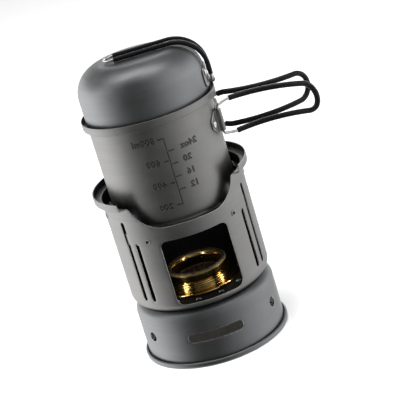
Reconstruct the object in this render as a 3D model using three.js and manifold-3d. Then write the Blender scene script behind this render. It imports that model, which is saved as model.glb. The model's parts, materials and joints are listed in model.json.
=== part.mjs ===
// Alcohol spirit stove: a nested cook set of stand, windscreen, spirit burner, pot and lid pan.
// Units are millimetres, +Z is up and the ground is z = 0. The origin is on the ground, at the
// centre of the set's footprint box. Azimuths are in degrees from the front (-Y) towards +X.
import * as THREE from 'three';
import { mergeVertices } from 'three/addons/utils/BufferGeometryUtils.js';
import Module from 'manifold-3d';

const wasm = await Module();
wasm.setup();

// ---- driving dimensions ----
const SHEET = 1.0; // wall of the spun aluminium shells
const GAP = 0.3; // clearance between pieces that lie against each other
const ROUND_STEPS = 36; // facets around a shell
const KNUCKLE_STEPS = 12; // facets around a knuckle
const EDGE_ROUND = 0.8; // rounding where a wall turns into a step

const BASE = {
  wallRadius: 64.2,
  footRadius: 67.4,
  footHeight: 4.8,
  height: 53,
  shoulderRadius: 9,
  topOpeningRadius: 48,
  ventHeight: 28,
  slotLength: 51,
  slotWidth: 9.5,
  holeRadius: 5,
  slotAzimuths: [0, 120, 240],
  holeAzimuths: [60, 180, 300],
};

const SCREEN = {
  turn: 6, // the windscreen stands turned a little on its base
  wallRadius: 64.3,
  lipRadius: 70.8,
  lipLow: 155.3,
  floorHeight: BASE.height + GAP,
  rimHeight: 162.3,
  cornerRadius: 10,
  burnerHoleRadius: 33.4,
  floorHoleRadius: 2.6,
  floorHoleRing: 41.5,
  floorHoles: 12,
  windowHalfAngle: 28.2,
  windowLow: 60.7,
  windowHigh: 123,
  windowCorner: 6,
  notchLow: 135.4,
  notchHalfAngle: 29.5,
  notchTopHalfAngle: 47,
  notchRound: 9,
  notchFlare: 6,
  slotWidth: 5,
  slotLow: 66,
  slotHighs: { 49: 123, 58.5: 143 },
};

const SUPPORT = {
  outerRadius: SCREEN.wallRadius - SHEET - GAP,
  thickness: 1.0,
  bandLow: 121,
  bandHigh: 130.7,
  ledgeRadius: 49.5,
  earHigh: 149,
  tabRadius: 57.2,
  tabHigh: 152.6,
  rivetHeight: 124.4,
  earRivetHeight: 143.4,
};

const BURNER = {
  bottom: 27.5,
  tankRadius: 32.6,
  tankCorner: 4,
  collarRadius: 36,
  collarLow: 54.6,
  collarHigh: 57,
  threadRadius: 30.4,
  threadTop: 64.5,
  threadPitch: 2,
  threadTurns: 3,
  threadDepth: 0.7,
  wellRadius: 23.6,
  rimRadius: 26.8,
  top: 73.2,
  wall: 0.8,
  jets: 12,
  jetRadius: 0.7,
  steps: 28,
};

const POT = {
  wallRadius: 56,
  wall: 0.8,
  bottom: 131,
  cornerRadius: 7,
  stepHeight: 222,
  rimRadius: 60.4,
  rimHeight: 229,
};

const LID = {
  wallRadius: 56.2,
  wall: 0.8,
  edgeHeight: 223.1,
  topHeight: 272.8,
  shoulderRadius: 25,
};

const GRIP = {
  wireRadius: 1.3,
  sleeveRadius: 2.5,
  pivotX: 56.8,
  pivotY: 17.4,
  height: 200,
  legHalfHeight: 13.4,
  bellyHalfHeight: 15.2,
  tipHalfHeight: 12.6,
  cornerRadius: 3,
  bowRadius: 72,
  runSteps: 8,
};
// sleeveStart is counted in run steps from the pivot
const FRONT_GRIP = { side: -1, length: 92, chord: -11.5, sleeveStart: 1 };
const REAR_GRIP = { side: 1, length: 90, chord: -1, sleeveStart: 0.25 };

const POT_BRACKET = { halfAngle: 32, low: 190.4, high: 209.6, thickness: 1.2, rivetAngle: 28.5 };
const LID_BRACKET = {
  halfAngle: 21, low: 231.5, high: 248.5, thickness: 1.0, rivetAngle: 15.5, rivetHeight: 244,
};

const LID_LOOP = {
  wireRadius: 1.3,
  sleeveRadius: 2.1,
  halfWidth: 8,
  hingeX: 60,
  hingeHeight: 233.5,
  farX: -25,
  sleeveFromX: -17,
  sleeveLow: 239,
  bendSteps: 8,
};

const RIVET = {
  shankRadius: 1.5,
  headRadius: 3.2,
  headHeight: 1.5,
  tailRadius: 2.4,
  tailHeight: 0.8,
  holeReach: 6,
};
const EYELET_BORE = 0.8;
const BARREL_WALL = 0.8; // of the knuckles that hold the wires
const WALL_CUT = [45, 75]; // radii between which a cutter passes through the outer walls

// ---- materials ----
const finish = (color, roughness, metalness) => () =>
  new THREE.MeshStandardMaterial({ color, roughness, metalness });
const aluminium = finish(0x8d8d92, 0.42, 1);
const darkAluminium = finish(0x77797f, 0.42, 1);
const stainless = finish(0xc9c9cb, 0.2, 1);
const brass = finish(0xb8893a, 0.3, 1);
const blackPlastic = finish(0x111112, 0.35, 0);
const cotton = finish(0xcfc6b4, 0.95, 0);

// ---- solids ----
const radians = THREE.MathUtils.degToRad;

function solidFrom(geometry) {
  geometry.deleteAttribute('normal');
  geometry.deleteAttribute('uv');
  const merged = mergeVertices(geometry, 1e-4);
  const index = Array.from(merged.index.array);
  const triVerts = [];
  for (let i = 0; i < index.length; i += 3) {
    const [a, b, c] = index.slice(i, i + 3);
    if (a !== b && b !== c && c !== a) triVerts.push(a, b, c);
  }
  const vertProperties = new Float32Array(merged.attributes.position.array);
  return new wasm.Manifold(
    new wasm.Mesh({ numProp: 3, vertProperties, triVerts: new Uint32Array(triVerts) }));
}

function geometryFrom(solid) {
  const { vertProperties, triVerts } = solid.getMesh();
  const geometry = new THREE.BufferGeometry();
  geometry.setAttribute('position', new THREE.BufferAttribute(new Float32Array(vertProperties), 3));
  geometry.setIndex(Array.from(triVerts));
  geometry.computeVertexNormals();
  return geometry;
}

const cut = (solid, cutters) => cutters.reduce((rest, cutter) => rest.subtract(cutter), solid);
const join = (solids) => solids.reduce((sum, solid) => sum.add(solid));

function meshOf(name, solid, material) {
  const mesh = new THREE.Mesh(geometryFrom(solid), material);
  mesh.name = name;
  return mesh;
}

// ---- outlines, as [radius, height] points ----
function arc(centreRadius, centreHeight, radius, fromDegrees, toDegrees, steps) {
  return Array.from({ length: steps + 1 }, (_, i) => {
    const angle = radians(fromDegrees + ((toDegrees - fromDegrees) * i) / steps);
    return [centreRadius + radius * Math.cos(angle), centreHeight + radius * Math.sin(angle)];
  });
}

// A sheet of even thickness to the left of an open path, as one closed outline.
function sheet(path, thickness) {
  const points = path.map(([r, z]) => new THREE.Vector2(r, z));
  const last = points.length - 1;
  const leftOf = (a, b) => new THREE.Vector2(a.y - b.y, b.x - a.x).normalize();
  const inner = points.map((point, i) => {
    const before = leftOf(points[Math.max(i - 1, 0)], points[Math.max(i, 1)]);
    const after = leftOf(points[Math.min(i, last - 1)], points[Math.min(i + 1, last)]);
    const middle = before.clone().add(after).normalize();
    return point.clone().addScaledVector(middle, thickness / middle.dot(after));
  });
  return [...points, ...inner.reverse()].map((point) => [Math.max(point.x, 0), point.y]);
}

function turned(outline, steps = ROUND_STEPS) {
  const points = outline.map(([r, z]) => new THREE.Vector2(r, z));
  if (THREE.ShapeUtils.isClockWise(points)) points.reverse();
  points.push(points[0].clone());
  return solidFrom(new THREE.LatheGeometry(points, steps).rotateX(Math.PI / 2));
}

// ---- cutters and plates ----
function roundedRectangle(width, low, high, corner) {
  const half = width / 2;
  const shape = new THREE.Shape();
  shape.absarc(half - corner, low + corner, corner, -Math.PI / 2, 0);
  shape.absarc(half - corner, high - corner, corner, 0, Math.PI / 2);
  shape.absarc(-half + corner, high - corner, corner, Math.PI / 2, Math.PI);
  shape.absarc(-half + corner, low + corner, corner, Math.PI, 1.5 * Math.PI);
  return shape;
}

function circle(radius, height = 0) {
  return new THREE.Shape().absarc(0, height, radius, 0, 2 * Math.PI);
}

// A prism that points outwards at one azimuth: its shape's x runs sideways and its y is height.
function outwardPrism(shape, azimuth, fromRadius, toRadius, curveSegments = 3) {
  const geometry = new THREE.ExtrudeGeometry(shape, {
    depth: toRadius - fromRadius, bevelEnabled: false, curveSegments,
  });
  geometry.rotateX(Math.PI / 2).translate(0, -fromRadius, 0).rotateZ(radians(azimuth));
  return solidFrom(geometry);
}

// A plate bent around the Z axis.
function bentPlate(innerRadius, outerRadius, fromAzimuth, toAzimuth, low, high, stepDegrees = 6) {
  const from = radians(fromAzimuth - 90);
  const to = radians(toAzimuth - 90);
  const shape = new THREE.Shape();
  shape.absarc(0, 0, outerRadius, from, to, false);
  shape.absarc(0, 0, innerRadius, to, from, true);
  const curveSegments = Math.max(1, Math.ceil((toAzimuth - fromAzimuth) / stepDegrees / 2));
  const geometry = new THREE.ExtrudeGeometry(shape, {
    depth: high - low, bevelEnabled: false, curveSegments,
  });
  return solidFrom(geometry.translate(0, 0, low));
}

// ---- rivets ----
// The rivet's axis is +Z with its head outside; grip is the thickness it holds.
function rivetOutline(grip, bore) {
  const { shankRadius, headRadius, headHeight, tailRadius, tailHeight } = RIVET;
  const tail = -grip - GAP;
  const head = [[headRadius, GAP], [headRadius * 0.8, GAP + headHeight * 0.7], [bore, GAP + headHeight]];
  return [
    [bore, tail - tailHeight], [tailRadius, tail - tailHeight], [tailRadius, tail],
    [shankRadius, tail], [shankRadius, GAP], ...head,
  ];
}

function rivetMesh(name, azimuth, faceRadius, height, grip, bore, material) {
  const mesh = meshOf(name, turned(rivetOutline(grip, bore), 9), material);
  const outward = new THREE.Vector3(Math.sin(radians(azimuth)), -Math.cos(radians(azimuth)), 0);
  mesh.position.copy(outward).multiplyScalar(faceRadius).setZ(height);
  mesh.quaternion.setFromUnitVectors(new THREE.Vector3(0, 0, 1), outward);
  return mesh;
}

function rivetHole(azimuth, height, faceRadius) {
  const { shankRadius, holeReach } = RIVET;
  const hole = circle(shankRadius + GAP, height);
  return outwardPrism(hole, azimuth, faceRadius - holeReach, faceRadius + holeReach, 5);
}

// ---- wires ----
// A path whose extrusion steps fall on its own points, so that bends can be closely stepped
// and straight runs can be one step.
class StepPath extends THREE.Curve {
  constructor(points) {
    super();
    this.points = points;
  }

  getPoint(t) {
    const place = t * (this.points.length - 1);
    const i = Math.min(Math.max(Math.floor(place), 0), this.points.length - 2);
    return this.points[i].clone().lerp(this.points[i + 1], place - i);
  }

  getPointAt(u) {
    return this.getPoint(u);
  }

  getTangentAt(u) {
    return this.getTangent(u);
  }
}

function alongPath(points, shape) {
  return solidFrom(new THREE.ExtrudeGeometry(shape, {
    extrudePath: new StepPath(points), steps: points.length - 1, curveSegments: 4,
  }));
}

const wire = (points, radius) => alongPath(points, circle(radius));

function tube(points, outerRadius, innerRadius) {
  const shape = circle(outerRadius);
  shape.holes.push(new THREE.Path().absarc(0, 0, innerRadius, 0, 2 * Math.PI));
  return alongPath(points, shape);
}

// ---- stand base ----
function standBase() {
  const { wallRadius, footRadius, footHeight, height, shoulderRadius, topOpeningRadius } = BASE;
  const foot = [
    [wallRadius + 0.7, 0.6], [wallRadius + 1, 0], [footRadius - 0.8, 0],
    [footRadius, 1.2], [footRadius, footHeight - 1.4], [footRadius - 1.4, footHeight],
  ];
  const outside = [
    ...foot,
    [wallRadius, footHeight + 1],
    ...arc(wallRadius - shoulderRadius, height - shoulderRadius, shoulderRadius, 0, 90, 3),
    [topOpeningRadius, height],
  ];
  const inside = [
    [topOpeningRadius, height - SHEET],
    ...arc(wallRadius - shoulderRadius, height - shoulderRadius, shoulderRadius - SHEET, 90, 0, 3),
    [wallRadius - SHEET, 2],
  ];
  const { slotAzimuths, holeAzimuths, slotLength, slotWidth, holeRadius, ventHeight } = BASE;
  const halfSlot = slotWidth / 2;
  const slot = roundedRectangle(slotLength, ventHeight - halfSlot, ventHeight + halfSlot, halfSlot);
  const hole = circle(holeRadius, ventHeight);
  const cutters = [
    ...slotAzimuths.map((azimuth) => outwardPrism(slot, azimuth, ...WALL_CUT)),
    ...holeAzimuths.map((azimuth) => outwardPrism(hole, azimuth, ...WALL_CUT, 6)),
  ];
  return cut(turned([...outside, ...inside]), cutters);
}

// ---- windscreen ----
function windscreen() {
  const { wallRadius, lipRadius, lipLow, rimHeight } = SCREEN;
  const { floorHeight, cornerRadius, burnerHoleRadius } = SCREEN;
  const outside = [
    [burnerHoleRadius, floorHeight],
    ...arc(wallRadius - cornerRadius, floorHeight + cornerRadius, cornerRadius, -90, 0, 3),
    [wallRadius, lipLow - EDGE_ROUND],
    [lipRadius - EDGE_ROUND, lipLow],
    [lipRadius, lipLow + EDGE_ROUND],
    [lipRadius, rimHeight],
  ];
  const inside = [
    [lipRadius - SHEET, rimHeight],
    [lipRadius - SHEET, lipLow + SHEET + EDGE_ROUND],
    [wallRadius - SHEET, lipLow + SHEET - EDGE_ROUND],
    ...arc(wallRadius - cornerRadius, floorHeight + cornerRadius, cornerRadius - SHEET, 0, -90, 3),
    [burnerHoleRadius, floorHeight + SHEET],
  ];
  return cut(turned([...outside, ...inside]), [
    windowCutter(), notchCutter(), ...slotCutters(), ...floorHoleCutters(), ...supportRivetHoles(),
  ]);
}

function windowCutter() {
  const { wallRadius, windowHalfAngle, windowLow, windowHigh, windowCorner } = SCREEN;
  const width = 2 * wallRadius * Math.sin(radians(windowHalfAngle));
  return outwardPrism(roundedRectangle(width, windowLow, windowHigh, windowCorner), 0, ...WALL_CUT);
}

function notchCutter() {
  const { wallRadius, notchHalfAngle, notchTopHalfAngle, notchLow, notchRound, notchFlare } = SCREEN;
  const { lipLow, rimHeight } = SCREEN;
  const lowHalf = wallRadius * Math.sin(radians(notchHalfAngle));
  const highHalf = wallRadius * Math.sin(radians(notchTopHalfAngle));
  const lipHeight = rimHeight - lipLow;
  const above = rimHeight + lipHeight;
  const shape = new THREE.Shape();
  shape.moveTo(-highHalf - notchFlare, above);
  shape.lineTo(-highHalf, lipLow);
  shape.quadraticCurveTo(-lowHalf - notchRound / 2, notchLow, -lowHalf + notchRound, notchLow);
  shape.lineTo(lowHalf - notchRound, notchLow);
  shape.quadraticCurveTo(lowHalf + notchRound / 2, notchLow, highHalf, lipLow);
  shape.lineTo(highHalf + notchFlare, above);
  return outwardPrism(shape, 0, 20, WALL_CUT[1]);
}

function slotCutters() {
  const { slotHighs, slotLow, slotWidth } = SCREEN;
  return Object.entries(slotHighs).flatMap(([angle, high]) => {
    const shape = roundedRectangle(slotWidth, slotLow, high, slotWidth / 2);
    return [-1, 1].map((side) => outwardPrism(shape, side * Number(angle), ...WALL_CUT, 2));
  });
}

function floorHoleCutters() {
  const { floorHoleRadius, floorHoleRing, floorHoles, floorHeight } = SCREEN;
  return Array.from({ length: floorHoles }, (_, i) => {
    const angle = (2 * Math.PI * (i + 0.5)) / floorHoles;
    const geometry = new THREE.CylinderGeometry(floorHoleRadius, floorHoleRadius, 4, 8);
    geometry.rotateX(Math.PI / 2);
    geometry.translate(floorHoleRing * Math.cos(angle), floorHoleRing * Math.sin(angle), floorHeight);
    return solidFrom(geometry);
  });
}

// ---- pot supports: three bent strips riveted inside the windscreen ----
const SIDE_SUPPORT = {
  band: [33, 92], ledge: [40, 62], ear: [78, 92], rivets: [[37.6, 'low'], [85.4, 'high']],
};
const REAR_SUPPORT = {
  band: [160, 200], ledge: [168, 192], ear: [172, 188], rivets: [[164, 'low'], [196, 'low']],
};
const SUPPORTS = [
  { name: 'left', layout: SIDE_SUPPORT, side: -1 },
  { name: 'right', layout: SIDE_SUPPORT, side: 1 },
  { name: 'rear', layout: REAR_SUPPORT, side: 1 },
];
const rivetHeights = { low: SUPPORT.rivetHeight, high: SUPPORT.earRivetHeight };

function supportRivetPlaces({ layout, side }) {
  return layout.rivets.map(([azimuth, level]) => ({ azimuth: side * azimuth, height: rivetHeights[level] }));
}

function supportRivetHoles() {
  return SUPPORTS.flatMap(supportRivetPlaces)
    .map(({ azimuth, height }) => rivetHole(azimuth, height, SCREEN.wallRadius));
}

function potSupport(support) {
  const { outerRadius, thickness, bandLow, bandHigh, ledgeRadius, earHigh, tabRadius, tabHigh } = SUPPORT;
  const { layout, side } = support;
  const innerRadius = outerRadius - thickness;
  const span = ([from, to]) => [Math.min(side * from, side * to), Math.max(side * from, side * to)];
  const plate = (range, inner, low, high) => bentPlate(inner, outerRadius, ...span(range), low, high);
  const slope = turned(sheet([[innerRadius + 0.1, earHigh - 0.6], [tabRadius, tabHigh]], -thickness * 0.9));
  const body = join([
    plate(layout.band, innerRadius, bandLow, bandHigh),
    plate(layout.ear, innerRadius, bandLow, earHigh),
    slope.intersect(plate(layout.ear, POT.wallRadius, bandHigh, SCREEN.rimHeight)),
    plate(layout.ledge, ledgeRadius, bandHigh - thickness, bandHigh),
  ]);
  const holes = supportRivetPlaces(support)
    .map(({ azimuth, height }) => rivetHole(azimuth, height, SCREEN.wallRadius));
  return cut(body, holes);
}

// ---- spirit burner ----
function burnerBody() {
  const { bottom, tankRadius, tankCorner, collarRadius, collarLow, collarHigh, wall, steps } = BURNER;
  const { threadRadius, threadTop, threadPitch, threadTurns, threadDepth, rimRadius } = BURNER;
  const threadRoot = threadRadius - threadDepth;
  const threads = Array.from({ length: threadTurns }, (_, i) => {
    const z = threadTop - threadPitch * (threadTurns - i);
    return [[threadRoot, z], [threadRadius, z + threadPitch / 2]];
  }).flat();
  const outside = [
    [0, bottom], [tankRadius - tankCorner, bottom], [tankRadius, bottom + tankCorner],
    [tankRadius, collarLow],
    [collarRadius - EDGE_ROUND, collarLow], [collarRadius, collarLow + EDGE_ROUND],
    [collarRadius, collarHigh - EDGE_ROUND], [collarRadius - EDGE_ROUND, collarHigh],
    [threadRoot, collarHigh], ...threads, [threadRoot, threadTop],
  ];
  const mouth = rimRadius + wall + GAP;
  const inside = [
    [mouth, threadTop], [mouth, collarHigh - wall], [tankRadius - wall, collarLow - tankCorner],
    [tankRadius - wall, bottom + tankCorner], [tankRadius - tankCorner, bottom + wall], [0, bottom + wall],
  ];
  return turned([...outside, ...inside], steps);
}

function burnerInnerCup() {
  const { bottom, wellRadius, rimRadius, threadTop, top, wall, jets, jetRadius, steps } = BURNER;
  const floor = bottom + wall + GAP;
  const skirtOverlap = 2;
  const path = [
    [0, floor], [wellRadius - 3, floor], [wellRadius, floor + 3], [wellRadius, top - 5],
    [wellRadius + 0.6, top - 1.4], [wellRadius + 1.4, top], [rimRadius - 0.6, top],
    [rimRadius, top - 1], [rimRadius, threadTop - skirtOverlap],
  ];
  const jet = circle(jetRadius, top - 6.5);
  const cutters = Array.from({ length: jets }, (_, i) =>
    outwardPrism(jet, (360 * (i + 0.5)) / jets, wellRadius - 3, wellRadius + 2, 3));
  return cut(turned(sheet(path, wall), steps), cutters);
}

function burnerWick() {
  const { bottom, wellRadius, tankRadius, tankCorner, collarLow, steps } = BURNER;
  const low = bottom + tankCorner + 1;
  const high = collarLow - tankCorner;
  const inner = wellRadius + 2 * GAP;
  const outer = tankRadius - tankCorner;
  return turned([[inner, low], [outer, low], [outer, high], [inner, high]], steps);
}

// ---- pot ----
function potBody() {
  const { wallRadius, wall, bottom, cornerRadius, stepHeight, rimRadius, rimHeight } = POT;
  const outside = [
    [0, bottom],
    ...arc(wallRadius - cornerRadius, bottom + cornerRadius, cornerRadius, -90, 0, 3),
    [wallRadius, stepHeight - EDGE_ROUND], [wallRadius + EDGE_ROUND, stepHeight],
    [rimRadius - EDGE_ROUND, stepHeight], [rimRadius, stepHeight + EDGE_ROUND], [rimRadius, rimHeight],
  ];
  const inside = [
    [rimRadius - wall, rimHeight], [rimRadius - wall, stepHeight + wall + EDGE_ROUND / 2],
    [rimRadius - wall - EDGE_ROUND / 2, stepHeight + wall], [wallRadius - wall / 2, stepHeight + wall],
    [wallRadius - wall, stepHeight],
    ...arc(wallRadius - cornerRadius, bottom + cornerRadius, cornerRadius - wall, 0, -90, 3),
    [0, bottom + wall],
  ];
  return cut(turned([...outside, ...inside]), [potRivetHole(-1), potRivetHole(1)]);
}

const potRivetHole = (side) => rivetHole(90 + side * POT_BRACKET.rivetAngle, GRIP.height, POT.wallRadius);

function potHandleBracket() {
  const { halfAngle, low, high, thickness } = POT_BRACKET;
  const inner = POT.wallRadius + GAP;
  const plate = bentPlate(inner, inner + thickness, 90 - halfAngle, 90 + halfAngle, low, high, 4);
  const bore = GRIP.wireRadius + GAP;
  const barrel = [[bore, low], [bore + BARREL_WALL, low], [bore + BARREL_WALL, high], [bore, high]];
  const core = [[0, low - 1], [bore, low - 1], [bore, high + 1], [0, high + 1]];
  const bothSides = (outline) => [-1, 1].map((side) =>
    turned(outline, KNUCKLE_STEPS).translate([GRIP.pivotX, side * GRIP.pivotY, 0]));
  return cut(
    join([plate, ...bothSides(barrel)]),
    [...bothSides(core), potRivetHole(-1), potRivetHole(1)],
  );
}

// ---- pot handles ----
// One side of a handle loop: `along` runs out from the pivot, `up` is above the middle height.
// The loop is highest one step out from its upright leg, and tapers from there to the rounded tip.
function gripOutline(length, start) {
  const { legHalfHeight, bellyHalfHeight, tipHalfHeight, cornerRadius, runSteps } = GRIP;
  const runEnd = length - tipHalfHeight;
  const laterSteps = Array.from({ length: runSteps }, (_, i) => i + 1).filter((step) => step > start);
  const topRun = [start, ...laterSteps].map((step) => {
    const rise = legHalfHeight + (bellyHalfHeight - legHalfHeight) * step;
    const fall = bellyHalfHeight + ((tipHalfHeight - bellyHalfHeight) * (step - 1)) / (runSteps - 1);
    return [cornerRadius + ((runEnd - cornerRadius) * step) / runSteps, step < 1 ? rise : fall];
  });
  const tip = arc(runEnd, 0, tipHalfHeight, 90, -90, 8).slice(1, -1);
  const bottomRun = topRun.map(([along, up]) => [along, -up]).reverse();
  return [...topRun, ...tip, ...bottomRun];
}

function gripWireOutline(length) {
  const { legHalfHeight, cornerRadius } = GRIP;
  const halfSplit = 0.5; // the wire's two ends meet inside the barrel
  const corner = arc(cornerRadius, legHalfHeight - cornerRadius, cornerRadius, 180, 90, 3).slice(0, -1);
  const lowCorner = corner.map(([along, up]) => [along, -up]).reverse();
  return [[0, halfSplit], ...corner, ...gripOutline(length, 0), ...lowCorner, [0, -halfSplit]];
}

// Bends the flat outline around the bow: side is -1 for the front handle and 1 for the rear one.
function bowed(outline, { side, length, chord }) {
  const { bowRadius, pivotX, pivotY, height } = GRIP;
  const halfArc = length / bowRadius / 2;
  return outline.map(([along, up]) => {
    const angle = along / bowRadius;
    const out = bowRadius * (Math.sin(halfArc) - Math.sin(halfArc - angle));
    const inward = bowRadius * (Math.cos(halfArc - angle) - Math.cos(halfArc));
    const point = new THREE.Vector3(out, -side * inward, up);
    point.applyAxisAngle(new THREE.Vector3(0, 0, 1), radians(chord));
    return point.add(new THREE.Vector3(pivotX, side * pivotY, height));
  });
}

function gripMeshes(name, grip) {
  const { wireRadius, sleeveRadius } = GRIP;
  const wirePoints = bowed(gripWireOutline(grip.length), grip);
  const sleevePoints = bowed(gripOutline(grip.length, grip.sleeveStart), grip);
  return [
    meshOf(`${name}_wire`, wire(wirePoints, wireRadius), stainless()),
    meshOf(`${name}_sleeve`, tube(sleevePoints, sleeveRadius, wireRadius + GAP), blackPlastic()),
  ];
}

// ---- lid pan ----
function lidPan() {
  const { wallRadius, wall, edgeHeight, topHeight, shoulderRadius } = LID;
  const outside = [
    [wallRadius, edgeHeight],
    ...arc(wallRadius - shoulderRadius, topHeight - shoulderRadius, shoulderRadius, 0, 90, 6),
    [0, topHeight],
  ];
  const inside = [
    [0, topHeight - wall],
    ...arc(wallRadius - shoulderRadius, topHeight - shoulderRadius, shoulderRadius - wall, 90, 0, 6),
    [wallRadius - wall, edgeHeight],
  ];
  return cut(turned([...outside, ...inside]), [lidRivetHole(-1), lidRivetHole(1)]);
}

function lidRivetHole(side) {
  return rivetHole(90 + side * LID_BRACKET.rivetAngle, LID_BRACKET.rivetHeight, LID.wallRadius);
}

function lidHandleBracket() {
  const { halfAngle, low, high, thickness } = LID_BRACKET;
  const { hingeX, hingeHeight, halfWidth, wireRadius } = LID_LOOP;
  const inner = LID.wallRadius + GAP;
  const plate = bentPlate(inner, inner + thickness, 90 - halfAngle, 90 + halfAngle, low, high, 4);
  const bore = wireRadius + GAP;
  const halfLength = halfWidth - wireRadius - GAP;
  const knuckle = (radius, half) =>
    turned([[0, -half], [radius, -half], [radius, half], [0, half]], KNUCKLE_STEPS)
      .rotate([90, 0, 0]).translate([hingeX, 0, hingeHeight]);
  const neckAngle = 5;
  const neck = bentPlate(
    inner, hingeX - bore, 90 - neckAngle, 90 + neckAngle, hingeHeight - bore, hingeHeight + bore, 4);
  return cut(
    join([plate, neck, knuckle(bore + BARREL_WALL, halfLength)]),
    [knuckle(bore, halfWidth), lidRivetHole(-1), lidRivetHole(1)],
  );
}

// ---- lid handle: a loop hinged on the lid's side that folds over its top ----
const lidLoopTop = () => LID.topHeight + GAP + LID_LOOP.sleeveRadius;

// The loop's bend over the lid's shoulder, as [x, z] points from the side of the lid to its top.
function lidLoopBend() {
  const { hingeX, bendSteps } = LID_LOOP;
  const centreX = LID.wallRadius - LID.shoulderRadius;
  const centreZ = LID.topHeight - LID.shoulderRadius;
  const bendRadius = hingeX - centreX;
  const bendHeight = lidLoopTop() - centreZ;
  return arc(0, 0, 1, 0, 90, bendSteps)
    .map(([x, z]) => [centreX + bendRadius * x, centreZ + bendHeight * z]);
}

function lidLoopPoints() {
  const { halfWidth, hingeX, hingeHeight, farX } = LID_LOOP;
  const topZ = lidLoopTop();
  const corner = 2.5;
  const endInBarrel = 3;
  const side = [[endInBarrel, 0], [halfWidth - corner, 0], [halfWidth - 0.7, 0.7], [halfWidth, corner]];
  const leg = [
    ...side.map(([y, up]) => new THREE.Vector3(hingeX, y, hingeHeight + up)),
    ...lidLoopBend().map(([x, z]) => new THREE.Vector3(x, halfWidth, z)),
  ];
  const bend = arc(farX + halfWidth, 0, halfWidth, 90, 270, 8).map(([x, y]) => new THREE.Vector3(x, y, topZ));
  const mirrored = leg.map((point) => new THREE.Vector3(point.x, -point.y, point.z)).reverse();
  return [...leg, ...bend, ...mirrored];
}

function lidSleeve(side) {
  const { wireRadius, sleeveRadius, halfWidth, hingeX, sleeveFromX, sleeveLow } = LID_LOOP;
  const line = [[hingeX, sleeveLow], ...lidLoopBend(), [sleeveFromX, lidLoopTop()]];
  const points = line.map(([x, z]) => new THREE.Vector3(x, side * halfWidth, z));
  return tube(points, sleeveRadius, wireRadius + GAP);
}

// ---- assembly ----
const stove = new THREE.Group();

stove.add(meshOf('stand_base', standBase(), darkAluminium()));

const screenGroup = new THREE.Group();
screenGroup.rotation.z = radians(SCREEN.turn);
screenGroup.add(meshOf('windscreen', windscreen(), aluminium()));
for (const support of SUPPORTS) {
  screenGroup.add(meshOf(`pot_support_${support.name}`, potSupport(support), stainless()));
  supportRivetPlaces(support).forEach(({ azimuth, height }, i) => {
    const name = `support_rivet_${support.name}_${i + 1}`;
    const grip = SHEET + GAP + SUPPORT.thickness;
    screenGroup.add(rivetMesh(name, azimuth, SCREEN.wallRadius, height, grip, EYELET_BORE, stainless()));
  });
}
stove.add(screenGroup);

stove.add(meshOf('burner_body', burnerBody(), brass()));
stove.add(meshOf('burner_inner_cup', burnerInnerCup(), brass()));
stove.add(meshOf('burner_wick', burnerWick(), cotton()));

stove.add(meshOf('pot_body', potBody(), aluminium()));
stove.add(meshOf('pot_handle_bracket', potHandleBracket(), stainless()));
stove.add(meshOf('lid_pan', lidPan(), darkAluminium()));
stove.add(meshOf('lid_handle_bracket', lidHandleBracket(), stainless()));
for (const [end, side] of [['front', -1], ['rear', 1]]) {
  const potFace = POT.wallRadius + GAP + POT_BRACKET.thickness;
  const potGrip = POT.wall + GAP + POT_BRACKET.thickness;
  const potAzimuth = 90 + side * POT_BRACKET.rivetAngle;
  stove.add(rivetMesh(`pot_rivet_${end}`, potAzimuth, potFace, GRIP.height, potGrip, 0, stainless()));
  const lidFace = LID.wallRadius + GAP + LID_BRACKET.thickness;
  const lidGrip = LID.wall + GAP + LID_BRACKET.thickness;
  const lidAzimuth = 90 + side * LID_BRACKET.rivetAngle;
  const lidHeight = LID_BRACKET.rivetHeight;
  stove.add(rivetMesh(`lid_rivet_${end}`, lidAzimuth, lidFace, lidHeight, lidGrip, 0, stainless()));
  stove.add(meshOf(`lid_handle_sleeve_${end}`, lidSleeve(side), blackPlastic()));
}
stove.add(...gripMeshes('handle_front', FRONT_GRIP));
stove.add(...gripMeshes('handle_rear', REAR_GRIP));
stove.add(meshOf('lid_handle_wire', wire(lidLoopPoints(), LID_LOOP.wireRadius), stainless()));

const footprint = new THREE.Box3().setFromObject(stove, true).getCenter(new THREE.Vector3());
stove.position.set(-footprint.x, -footprint.y, 0);
stove.updateMatrixWorld(true);

export default stove;
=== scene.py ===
"""Alcohol spirit stove: the fine surfaces and materials of a nested cook set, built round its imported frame.

Shapes are worked out in millimetres about the stove's upright axis, with z up from the ground, and
are moved to the frame's metres when a piece is made. Azimuths are in degrees from the front (-Y)
towards +X.
"""
import json
import math

import bmesh
import bpy
import numpy as np
from mathutils import Matrix, Vector, geometry


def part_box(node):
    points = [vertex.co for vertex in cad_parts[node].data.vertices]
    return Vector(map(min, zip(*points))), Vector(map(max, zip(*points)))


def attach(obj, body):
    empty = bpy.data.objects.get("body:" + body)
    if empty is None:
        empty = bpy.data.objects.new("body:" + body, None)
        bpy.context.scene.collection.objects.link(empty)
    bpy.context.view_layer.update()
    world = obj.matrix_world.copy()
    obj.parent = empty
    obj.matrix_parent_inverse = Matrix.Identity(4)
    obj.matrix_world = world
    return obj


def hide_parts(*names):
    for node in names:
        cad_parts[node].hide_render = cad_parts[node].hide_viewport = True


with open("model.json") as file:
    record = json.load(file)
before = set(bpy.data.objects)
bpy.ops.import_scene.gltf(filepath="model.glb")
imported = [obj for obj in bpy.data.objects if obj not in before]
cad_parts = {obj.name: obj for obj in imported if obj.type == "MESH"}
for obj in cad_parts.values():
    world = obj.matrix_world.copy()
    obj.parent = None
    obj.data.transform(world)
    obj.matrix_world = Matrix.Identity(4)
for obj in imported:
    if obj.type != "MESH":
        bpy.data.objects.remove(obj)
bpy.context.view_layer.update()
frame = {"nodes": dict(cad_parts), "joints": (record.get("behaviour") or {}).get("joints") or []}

# ---- frame dimensions, in millimetres about the axis ----
MM = 0.001
pot_low, pot_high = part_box("pot_body")
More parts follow.
